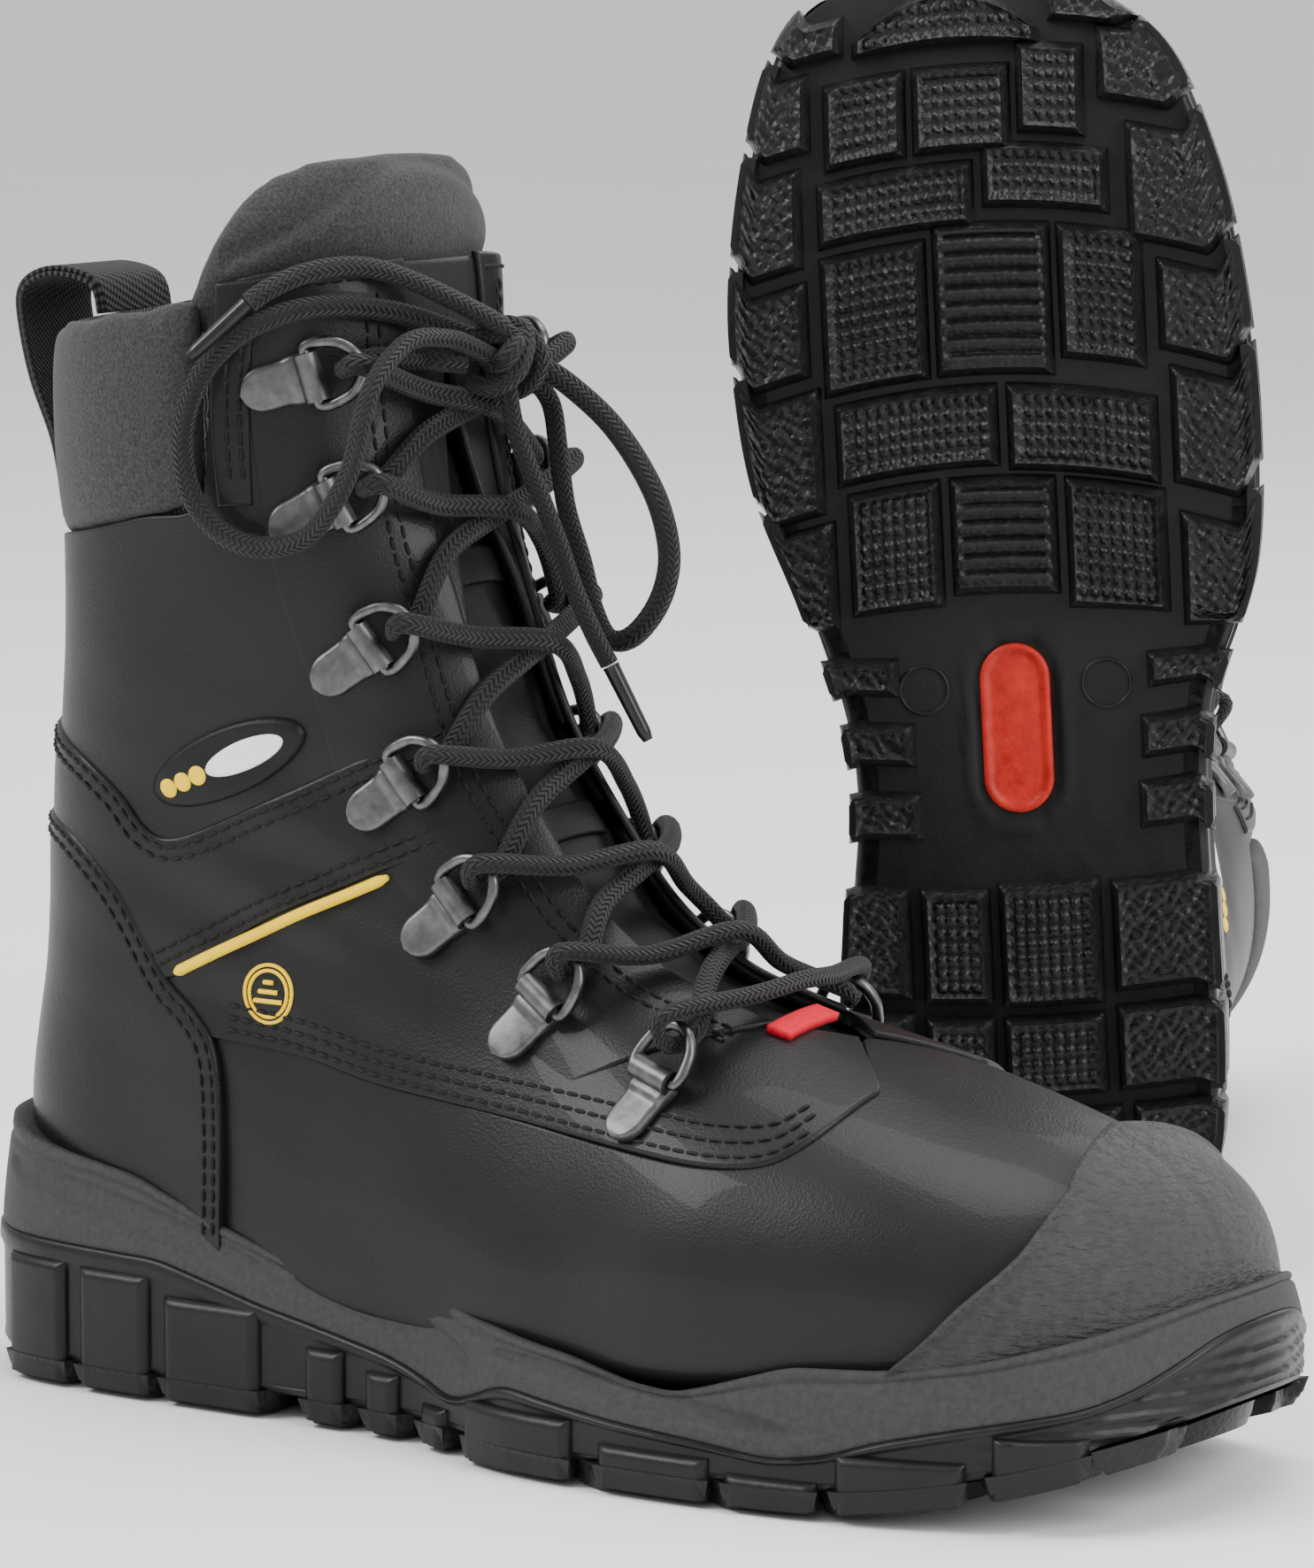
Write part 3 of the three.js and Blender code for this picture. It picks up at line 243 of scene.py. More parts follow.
def webbing_bumps(tree, where):
    parts = node(tree, "ShaderNodeSeparateXYZ", {0: node(tree, "ShaderNodeTexCoord").outputs["UV"]})
    rib = uv_wave(tree, parts.outputs["X"], parts.outputs["Y"], 14, 400)
    pick = uv_wave(tree, parts.outputs["X"], parts.outputs["Y"], 7, 1.6)
    return [(math_node(tree, "MULTIPLY", rib, pick), 1.0, 0.0004), (noise(tree, where, 2000), 0.4, 0.0001)]


def leather_bumps(tree, where):
    return [(noise(tree, where, 45, 4), 0.2, 0.001), (cells(tree, where, 1600), 0.4, 0.00014),
            (noise(tree, where, 2600, 4), 0.3, 0.0001)]


def stripes(tree, where):
    wave = node(tree, "ShaderNodeTexWave", {"Vector": where}, Scale=420.0, Distortion=6.0)
    return wave.outputs["Fac"]


def noises(*layers):
    """Bumps of noise alone: the scale, detail, strength and height in metres of each layer."""
    def bumps(tree, where):
        return [(noise(tree, where, scale, detail), strength, height)
                for scale, detail, strength, height in layers]
    return bumps


LEATHER = surface("leather_smooth", (grey(0.0045), grey(0.0085), 24), (0.36, 0.5), leather_bumps, coat=0.06)
LEATHER_TRIM = surface("leather_trim", (grey(0.004), grey(0.007), 30), (0.4, 0.54), leather_bumps)
TEXTILE = surface(
    "collar_textile", (grey(0.014), grey(0.05), 1500), (0.85, 1.0),
    noises((1700, 5, 0.8, 0.0004), (90, 3, 0.3, 0.0008)),
    sheen=0.12)
PILE = surface(
    "pile_lining", (grey(0.03), grey(0.5), 600), (0.9, 1.0),
    noises((900, 5, 1.0, 0.0012)), sheen=0.3, pattern=stripes)
WEBBING = surface("webbing", (grey(0.003), grey(0.008), 900), (0.6, 0.8), webbing_bumps, sheen=0.1)
MIDSOLE_FOAM = surface(
    "midsole_foam", (grey(0.030), grey(0.046), 700), (0.5, 0.75),
    lambda tree, where: [(noise(tree, where, 620, 5, 0.7), 0.8, 0.0006),
                         (cells(tree, where, 1500), 0.3, 0.0002)])


def ripple_bumps(tree, where):
    stretch = node(tree, "ShaderNodeMapping", {"Vector": where})
    stretch.inputs["Scale"].default_value = (1, 1, 3.2)
    ripple = noise(tree, stretch.outputs["Vector"], 260, 4, 0.6)
    return [(ripple, 1.0, 0.0018), (noise(tree, where, 1800, 3), 0.3, 0.0001)]


GUARD_FOAM = surface("guard_foam", (grey(0.030), grey(0.046), 500), (0.36, 0.55), ripple_bumps)
OUTSOLE_RUBBER = surface(
    "outsole_rubber", (grey(0.006), grey(0.010), 80), (0.3, 0.44),
    noises((220, 4, 0.35, 0.0005), (2200, 3, 0.3, 0.0001)))
LUG_RUBBER = surface(
    "lug_rubber", (grey(0.006), grey(0.011), 400), (0.28, 0.44),
    lambda tree, where: [(cells(tree, where, 700), 0.5, 0.0004), (noise(tree, where, 1500, 4), 0.3, 0.0001)])
BADGE_RUBBER = surface(
    "badge_rubber", (grey(0.004), grey(0.007), 300), (0.4, 0.55),
    noises((1500, 3, 0.4, 0.0002)))
STEEL = surface(
    "ring_steel", (grey(0.085), grey(0.15), 350), (0.34, 0.5),
    noises((900, 4, 0.35, 0.0001)), metallic=1.0)
STEEL_DARK = surface(
    "ring_steel_dark", (grey(0.085), grey(0.16), 450), (0.26, 0.42),
    noises((700, 4, 0.4, 0.0001)), metallic=1.0)
BOARD = surface(
    "fibre_board", ((0.42, 0.40, 0.34), (0.52, 0.50, 0.43), 300), (0.8, 0.95),
    noises((1200, 4, 0.5, 0.0003)))
CAP = surface(
    "toe_cap", ((0.55, 0.56, 0.54), (0.66, 0.67, 0.65), 200), (0.4, 0.55),
    noises((600, 3, 0.3, 0.0002)))
BRAID = surface("lace_braid", (grey(0.003), grey(0.009), 1400), (0.5, 0.66), braid_bumps, sheen=0.08)
TIP = surface(
    "lace_tip", (grey(0.006), grey(0.010), 500), (0.25, 0.38),
    noises((900, 3, 0.3, 0.0001)), coat=0.2)
THREAD = surface("thread", (grey(0.004), grey(0.009), 1500), (0.5, 0.7), noises((3000, 3, 0.5, 0.0001)))
YELLOW = surface(
    "piping_yellow", ((0.95, 0.60, 0.0), (1.0, 0.68, 0.0), 200), (0.4, 0.55),
    noises((900, 3, 0.3, 0.0001)))
WHITE = surface(
    "badge_white", ((0.85, 0.85, 0.85), (0.93, 0.93, 0.93), 300), (0.4, 0.5),
    noises((900, 3, 0.3, 0.0001)))
RED_RUBBER = surface(
    "inlay_red", ((0.34, 0.012, 0.008), (0.50, 0.022, 0.014), 260), (0.3, 0.45),
    noises((500, 4, 0.5, 0.0005)))
RED_TAB = surface(
    "tab_red", ((0.60, 0.004, 0.02), (0.72, 0.008, 0.03), 700), (0.7, 0.85),
    noises((1800, 3, 0.5, 0.0002)))
FLOOR = surface(
    "floor", ((0.93, 0.93, 0.93), (0.95, 0.95, 0.95), 3), (0.6, 0.7),
    noises((40, 3, 0.05, 0.0002)))


# ---------- meshes ----------
def unit(vectors):
    return vectors / np.linalg.norm(vectors, axis=-1, keepdims=True)


def travelled(points):
    """The way along a row of points up to each of them."""
    return np.concatenate([[0], np.cumsum(np.linalg.norm(np.diff(points, axis=0), axis=1))])


class Mesh:
    """Points in a boot's own millimetres, faces, and a place (across, along) for each point."""

    def __init__(self):
        self.points, self.faces, self.uvs = [], [], []
        self.count = 0

    def add(self, points, faces, uvs=None):
        points = np.asarray(points, float).reshape(-1, 3)
        faces = np.asarray(faces, int).reshape(-1, 4)
        self.points.append(points)
        self.faces.append(faces + self.count)
        self.uvs.append(np.zeros((len(points), 2)) if uvs is None else np.asarray(uvs, float).reshape(-1, 2))
        self.count += len(points)
        return self

    def add_slab(self, top, low, flip=False, uvs=None):
        """Two grids of points joined by walls; flip turns the faces over."""
        faces = slab_faces(*top.shape[:2])
        points = np.concatenate([top.reshape(-1, 3), low.reshape(-1, 3)])
        uvs = None if uvs is None else np.concatenate([uvs.reshape(-1, 2)] * 2)
        return self.add(points, faces[:, ::-1] if flip else faces, uvs)


def grid_faces(nu, nv, close_u=False, close_v=False):
    u = np.arange(nu if close_u else nu - 1)
    v = np.arange(nv if close_v else nv - 1)
    i, j = np.meshgrid(u, v, indexing="ij")
    i2, j2 = (i + 1) % nu, (j + 1) % nv
    return np.stack([i * nv + j, i2 * nv + j, i2 * nv + j2, i * nv + j2], axis=-1).reshape(-1, 4)


def slab_faces(nu, nv):
    """Faces of two grids, outer then inner, joined by walls."""
    outer = grid_faces(nu, nv)
    inner = outer[:, ::-1] + nu * nv
    rim = [*[(i, 0) for i in range(nu)], *[(nu - 1, j) for j in range(1, nv)],
           *[(i, nv - 1) for i in range(nu - 2, -1, -1)], *[(0, j) for j in range(nv - 2, 0, -1)]]
    ids = np.array([i * nv + j for i, j in rim])
    after = np.roll(ids, -1)
    wall = np.stack([after, ids, ids + nu * nv, after + nu * nv], axis=-1)
    return np.concatenate([outer, inner, wall])


def finish_piece(boot, name, mesh, material, nodes=(), body=None, sharp=None):
    points = boot.place(np.concatenate(mesh.points))
    faces = np.concatenate(mesh.faces)
    if boot.mirrored:
        faces = faces[:, ::-1]
    data = bpy.data.meshes.new(name)
    flat = [list(dict.fromkeys(face)) for face in faces.tolist()]
    data.from_pydata(points.tolist(), [], [face for face in flat if len(face) > 2])
    data.update()
    uv = np.concatenate(mesh.uvs)
    layer = data.uv_layers.new(name="way")
    loops = np.zeros(len(data.loops), int)
    data.loops.foreach_get("vertex_index", loops)
    layer.data.foreach_set("uv", uv[loops].ravel())
    data.polygons.foreach_set("use_smooth", [True] * len(data.polygons))
    if sharp:
        data.set_sharp_from_angle(angle=math.radians(sharp))
    data.materials.append(material)
    piece = bpy.data.objects.new(name, data)
    bpy.context.scene.collection.objects.link(piece)
    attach(piece, body or boot.body)
    if nodes:
        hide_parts(*nodes)
    return piece


def spline(points, count, closed=False):
    """Catmull-Rom through points, as count points evenly along it."""
    p = np.asarray(points, float)
    n = len(p)
    spans = n if closed else n - 1
    fine = np.linspace(0, spans, spans * 24 + 1)
    if closed:
        fine = fine[:-1]
    i = np.minimum(np.floor(fine).astype(int), spans - 1)
    u = (fine - i)[:, None]
    pick = (lambda k: p[(i + k) % n]) if closed else (lambda k: p[np.clip(i + k, 0, n - 1)])
    a, b, c, d = pick(-1), pick(0), pick(1), pick(2)
    curve = 0.5 * (2 * b + (c - a) * u + (2 * a - 5 * b + 4 * c - d) * u**2 + (3 * b - a - 3 * c + d) * u**3)
    if closed:
        curve = np.vstack([curve, curve[:1]])
    way = travelled(curve)
    at = np.linspace(0, way[-1], count + 1 if closed else count)
    even = np.stack([np.interp(at, way, curve[:, k]) for k in range(p.shape[1])], axis=1)
    return even[:-1] if closed else even


def smooth_step(low, high, value):
    u = np.clip((value - low) / (high - low), 0, 1)
    return u * u * (3 - 2 * u)


# ---------- the last: the surface that the outside of the leather follows ----------
# Columns: ridge point x, z, back point x, z, place of the widest line between them, outer half
# width, inner half width, ridge offset to the inner side, squareness of the ridge side and the back.
SECTIONS = np.array([
    [295.5, 33, 295.5, 31, 0.45, 0.5, 0.5, 9, 2, 2],
    [295, 42, 294.5, 25, 0.42, 9, 10, 9, 2.1, 2.2],
    [292, 53, 291, 21, 0.4, 23, 21, 9, 2.2, 2.6],
    [287.5, 60, 286, 19.5, 0.38, 31, 28, 9, 2.3, 3],
    [280, 65, 278, 18.5, 0.37, 39, 34, 8.5, 2.35, 3.5],
    [270, 69, 266, 18, 0.36, 46.5, 40.5, 8, 2.4, 4],
    [256, 73.5, 250, 17, 0.36, 51.5, 45.5, 7, 2.35, 4.5],
    [240, 78, 232, 16.5, 0.36, 55, 49.5, 6, 2.3, 5],
    [225, 82.5, 212, 16.5, 0.35, 57, 51.5, 5, 2.2, 5],
    [210, 87, 188, 16.5, 0.33, 57, 50.5, 3.5, 2.1, 5],
    [195, 91.5, 160, 16.5, 0.31, 52, 45, 2.5, 2.1, 5],
    [178, 98, 128, 16.5, 0.28, 46, 40, 1.5, 2.15, 4.5],
    [163, 108, 90, 17, 0.27, 42, 38, 1, 2.3, 4],
    [152, 119, 50, 18, 0.27, 39, 37, 0.5, 2.6, 3],
    [142, 134, 20, 23, 0.28, 36.5, 35.5, 0, 2.7, 2.3],
    [133, 149, 11.5, 50, 0.3, 35.5, 35, 0, 2.7, 2.2],
    [123, 176, 16, 88, 0.38, 38, 37.5, 0, 2.5, 2.2],
    [116, 193, 20, 125, 0.45, 42, 41.5, 0, 2.4, 2.2],
    [111, 215, 23, 172, 0.5, 44.5, 44, 0, 2.4, 2.2],
    [109, 240, 22, 228, 0.5, 46, 45.5, 0, 2.4, 2.2],
    [104, 263, 22, 256, 0.5, 46, 45.5, 0, 2.4, 2.2],
])
LAST_SECTION = len(SECTIONS) - 1
THROAT_SECTION = 9.7
T_STEPS, Q_STEPS, SIDE_STEPS = 400, 120, 90
BACK_ROW = 220  # the row of the last at the foot of the heel


def last_rows(t):
    i = np.minimum(np.floor(t).astype(int), LAST_SECTION - 1)
    u = (t - i)[:, None]
    a, b, c, d = (SECTIONS[np.clip(i + k, 0, LAST_SECTION)] for k in (-1, 0, 1, 2))
    p, q = (c - a) / 2, (d - b) / 2
    return b + u * (p + u * (3 * (c - b) - 2 * p - q + u * (p + q - 2 * (c - b))))


def half_surface(side):
    """Points of one side, at even girth from the ridge to the back, for each section."""
    t = np.linspace(0, LAST_SECTION, T_STEPS + 1)
    fx, fz, bx, bz, mid, outer, inner, ridge, n1, n2 = last_rows(t).T[:, :, None]
    angle = np.linspace(0, math.pi, SIDE_STEPS + 1)[None]
    c, s = np.cos(angle), np.maximum(np.sin(angle), 0)
    front = c > 0
    along = np.where(front, mid + (1 - mid) * np.abs(c) ** (2 / n1), mid - mid * np.abs(c) ** (2 / n2))
    y = ridge + side * (inner if side > 0 else outer) * s ** (2 / np.where(front, n1, n2))
    points = np.stack([bx + (fx - bx) * along, y, bz + (fz - bz) * along], axis=-1)
    step = np.linalg.norm(np.diff(points, axis=1), axis=-1)
    way = np.concatenate([np.zeros((len(t), 1)), np.cumsum(step, axis=1)], axis=1)
    even = np.empty((len(t), Q_STEPS + 1, 3))
    for row in range(len(t)):
        at = np.linspace(0, way[row, -1], Q_STEPS + 1)
        for k in range(3):
            even[row, :, k] = np.interp(at, way[row], points[row, :, k])
    return even, way[:, -1]


OUTER_SIDE, OUTER_GIRTH = half_surface(-1)
INNER_SIDE, INNER_GIRTH = half_surface(1)
LAST = np.concatenate([OUTER_SIDE[:, :0:-1], INNER_SIDE], axis=1)  # q from -1 to 1
_wrapped = np.concatenate([LAST[:, -2:-1], LAST, LAST[:, 1:2]], axis=1)
_around = _wrapped[:, 2:] - _wrapped[:, :-2]
_along = np.gradient(LAST, axis=0)
NORMALS = np.cross(_around, _along)
NORMALS /= np.maximum(np.linalg.norm(NORMALS, axis=-1, keepdims=True), 1e-9)


def sample(table, t, q):
    row = np.clip(np.asarray(t, float), 0, LAST_SECTION) * T_STEPS / LAST_SECTION
    column = (np.clip(q, -1, 1) + 1) * Q_STEPS
    i = np.minimum(np.floor(row).astype(int), T_STEPS - 1)
    j = np.minimum(np.floor(column).astype(int), 2 * Q_STEPS - 1)
    u, v = (row - i)[..., None], (column - j)[..., None]
    low = table[i, j] * (1 - v) + table[i, j + 1] * v
    high = table[i + 1, j] * (1 - v) + table[i + 1, j + 1] * v
    return low * (1 - u) + high * u


def creases(points):
    """Soft folds of worn leather: at the ankle, over the instep and a little everywhere."""
    x, y, z = points[..., 0], points[..., 1], points[..., 2]
    ankle = np.exp(-(((x - 95) / 45) ** 2 + ((z - 112) / 32) ** 2))
    fold = np.sin(z * 0.33 + x * 0.12 + 1.3 * np.sin(y * 0.05)) * ankle * 0.45
    broad = 0.35 * np.sin(x * 0.051 + 1) * np.sin(z * 0.063 + y * 0.03) + 0.2 * np.sin(x * 0.11 + z * 0.09)
    return fold + broad


def skin(t, way, offset, soft=True):
    """Points over the last. way is -1..1 as q, and under -1 it goes on round the back to the inner side."""
    q = np.where(np.asarray(way) < -1, np.asarray(way) + 2, way)
    points = sample(LAST, t, q)
    rise = np.asarray(offset, float) + (creases(points) if soft else 0)
    return points + sample(NORMALS, t, q) * rise[..., None]


def girth(t, side):
    table = INNER_GIRTH if side > 0 else OUTER_GIRTH
    return np.interp(t, np.linspace(0, LAST_SECTION, T_STEPS + 1), table)


def skin_at(t, arc, offset, soft=True):
    """The same, with the place around the section in millimetres from the ridge."""
    t, arc = np.broadcast_arrays(np.asarray(t, float), np.asarray(arc, float))
    return skin(t, arc / np.where(arc < 0, girth(t, -1), girth(t, 1)), offset, soft)


def on_side(x, z, side):
    """(t, q) of the skin point seen at (x, z) from the outer (-1) or inner (1) side."""
    half = slice(8, Q_STEPS - 2) if side < 0 else slice(Q_STEPS + 3, 2 * Q_STEPS - 7)
    miss = np.hypot(LAST[:, half, 0] - x, LAST[:, half, 2] - z)
    i, j = np.unravel_index(np.argmin(miss), miss.shape)
    t, q = i * LAST_SECTION / T_STEPS, (j + half.start) / Q_STEPS - 1
    for _ in range(4):
        here, by_t, by_q = (sample(LAST, a, b)[[0, 2]] for a, b in ((t, q), (t + 0.02, q), (t, q + 0.004)))
        slope = np.stack([(by_t - here) / 0.02, (by_q - here) / 0.004], axis=1)
        step = np.linalg.lstsq(slope, np.array([x, z]) - here, rcond=None)[0]
        t = float(np.clip(t + np.clip(step[0], -0.1, 0.1), 0, LAST_SECTION))
        q = float(np.clip(q + np.clip(step[1], -0.02, 0.02), -1, 1))
    return t, q


def back_at(z):
    """The place at a height on the line down the back, over the heel, where it climbs steadily."""
    rows = np.linspace(0, LAST_SECTION, T_STEPS + 1)
    return float(np.interp(z, LAST[BACK_ROW:, 0, 2], rows[BACK_ROW:])), -1.0


def ridge_at(x):
    ridge = LAST[:, Q_STEPS, 0]
    return float(np.interp(-x, -ridge, np.linspace(0, LAST_SECTION, T_STEPS + 1))), 0.0


def rail(line, side=-1, back=None, ridge=None, count=60):
    """A line on the skin from points seen from the side, ending at the back's height or the ridge's x."""
    seen = spline(line, max(len(line) * 6, 24)) if len(line) > 2 else np.linspace(*line, 20)
    places = [on_side(x, z, side) for x, z in seen]
    if back is not None:
        places.insert(0, (back_at(back)[0], float(side)))
    if ridge is not None:
        places.append(ridge_at(ridge))
    places = np.array(places)
    return resample(places, count)


def resample(places, count):
    places = np.asarray(places, float)
    spots = skin(places[:, 0], places[:, 1], np.zeros(len(places)), False)
    way = travelled(spots)
    keep = np.concatenate([[True], np.diff(way) > 1e-6])
    at = np.linspace(0, way[-1], count)
    return np.stack([np.interp(at, way[keep], places[keep, k]) for k in range(2)], axis=1)


def both_sides(line, back=None, ridge=None, count=120):
    """A rail from the outer side to the inner one, round the back or over the ridge."""
    half = rail(line, -1, back, ridge, count)
    other = rail(line, 1, back, ridge, count)
    if back is not None:
        other[:, 1] -= 2
        return resample(np.concatenate([half[::-1], other[1:]]), 2 * count)
    return resample(np.concatenate([half, other[::-1][1:]]), 2 * count)


def edge_spaced(length, step, radius=1.2):
    """Places from 0 to 1 that are closer at both ends, where an edge is rounded."""
    count = max(int(round(length / step)), 3)
    inner = np.linspace(radius, length - radius, count)
    rim = radius * np.array([0, 0.15, 0.4, 0.7])
    return np.concatenate([rim, inner, length - rim[::-1]]) / length


def rounded(distance, radius):
    d = np.clip(distance / radius, 0, 1)
    return radius * (1 - np.sqrt(1 - (1 - d) ** 2))


def patch(rail_a, rail_b, step=2.0, thick=1.8, top=0.0, radius=0.9, soft=True):
    """A sheet of leather between two rails, its outer face at top over the skin, with rounded edges."""
    a, b = resample(rail_a, 200), resample(rail_b, 200)
    spots_a, spots_b = (skin(r[:, 0], r[:, 1], np.zeros(200), False) for r in (a, b))
    length = np.linalg.norm(np.diff(spots_a, axis=0), axis=1).sum()
    width = np.linalg.norm(spots_a - spots_b, axis=1).mean()
    u, v = edge_spaced(length, step), edge_spaced(width, step)
    index = u * 199
    pa, pb = (np.stack([np.interp(index, np.arange(200), r[:, k]) for k in range(2)], axis=1) for r in (a, b))
    places = pa[:, None] * (1 - v[None, :, None]) + pb[:, None] * v[None, :, None]
    t, way = places[..., 0], places[..., 1]
    along, across = u[:, None] * length, v[None, :] * width
    rim = np.minimum(np.minimum(along, length - along), np.minimum(across, width - across))
    height = (top(u[:, None], v[None]) if callable(top) else top) - rounded(rim, radius)
    height = height + 0 * t
    outer = skin(t, way, height, soft)
    inner = skin(t, way, np.minimum(height - 0.1, -thick + 0 * t), soft)
    uv = np.stack(np.broadcast_arrays(across, along), axis=-1)
    return Mesh().add_slab(outer, inner, uvs=uv)


# ---------- tubes ----------
def frames_along(path):
    way = unit(np.gradient(path, axis=0))
    across = np.array([0.1, 0.2, 1.0])
    firsts = []
    for direction in way:
        across = across - direction * across.dot(direction)
        across /= np.linalg.norm(across)
        firsts.append(across)
    first = np.array(firsts)
    return first, np.cross(way, first)


def tube(mesh, path, radius, sides=12, flat=1.0, ends=True, taper=None):
    path = np.asarray(path, float)
    first, second = frames_along(path)
    angle = np.arange(sides + 1) * TAU / sides
    reach = radius * (np.ones(len(path)) if taper is None else taper)[:, None, None]
    c, s = np.cos(angle)[None, :, None], np.sin(angle)[None, :, None]
    ring = first[:, None] * c + second[:, None] * s * flat
    points = path[:, None] + ring * reach
    way = travelled(path)
    uv = np.stack(np.broadcast_arrays((angle / TAU)[None], way[:, None]), axis=-1)
    mesh.add(points, grid_faces(len(path), sides + 1), uv)
    if ends:
        for spot, row, turn in ((path[0], points[0], -1), (path[-1], points[-1], 1)):
            around = [(i + 1, i) if turn < 0 else (i, i + 1) for i in range(sides)]
            mesh.add(np.vstack([row, spot]), [(sides + 1, a, b, b) for a, b in around])
    return mesh


# ---------- stitching ----------
STITCH, STITCH_GAP, THREAD_RADIUS = 2.7, 3.5, 0.42


def beside(line, distance):
    """A line seen from the side, moved to its left by a distance."""
    line = spline(line, 60)
    way = unit(np.gradient(line, axis=0))
    return line + np.stack([-way[:, 1], way[:, 0]], axis=1) * distance


def stitches(mesh, spots, normals):
    """Short threads along a row of points, each dipping into the leather at its ends."""
    way = travelled(spots)
    steps = np.array([-1, -0.8, -0.4, 0, 0.4, 0.8, 1]) * STITCH / 2
    dip = np.array([-0.5, -0.1, 0.12, 0.16, 0.12, -0.1, -0.5])
    for middle in np.arange(STITCH_GAP, way[-1] - STITCH_GAP / 2, STITCH_GAP):
        at = middle + steps
        path = np.stack([np.interp(at, way, spots[:, k]) for k in range(3)], axis=1)
        out = np.stack([np.interp(at, way, normals[:, k]) for k in range(3)], axis=1)
        tube(mesh, path + out * dip[:, None], THREAD_RADIUS, sides=6, ends=False)


def stitch_line(mesh, line, offsets, top):
    for side in (-1, 1):
        for distance in offsets:
            seen = beside(line, distance)
            places = np.array([on_side(x, z, side) for x, z in seen])
            places = resample(places, 160)
            spots = skin(places[:, 0], places[:, 1], np.full(160, top))
            stitches(mesh, spots, sample(NORMALS, places[:, 0], places[:, 1]))


# ---------- upper ----------
COUNTER_EDGE = [[24, 123], [38, 120], [52, 109], [63, 91], [71, 84], [77, 76], [79.5, 59], [80, 36], [80, 28]]
VAMP_SEAM = [
    [77, 79], [98, 77], [120, 73], [150, 70], [183, 67], [206, 66], [219, 67.5], [226, 73], [229, 79]]
UPPER_SEAM = [
    [24, 143], [42, 137], [53, 130], [60, 122], [68, 121], [89, 130], [108, 139], [124, 147], [133, 151]]
LOWER_SEAM = [[58, 89], [89, 104.5], [117, 117], [128, 122], [139, 128]]
SOLE_LINE = [[12, 34], [40, 30], [80, 26], [130, 22], [180, 20], [230, 21], [262, 25], [285, 32]]
ARC_THROAT, ARC_EYESTAY = 13, 50
EYESTAY_TOP = 1.9


def throat_rail(arc, t_from, t_to, side, count=80):
    t = np.linspace(t_from, t_to, count)
    return np.stack([t, side * arc / girth(t, side)], axis=1)


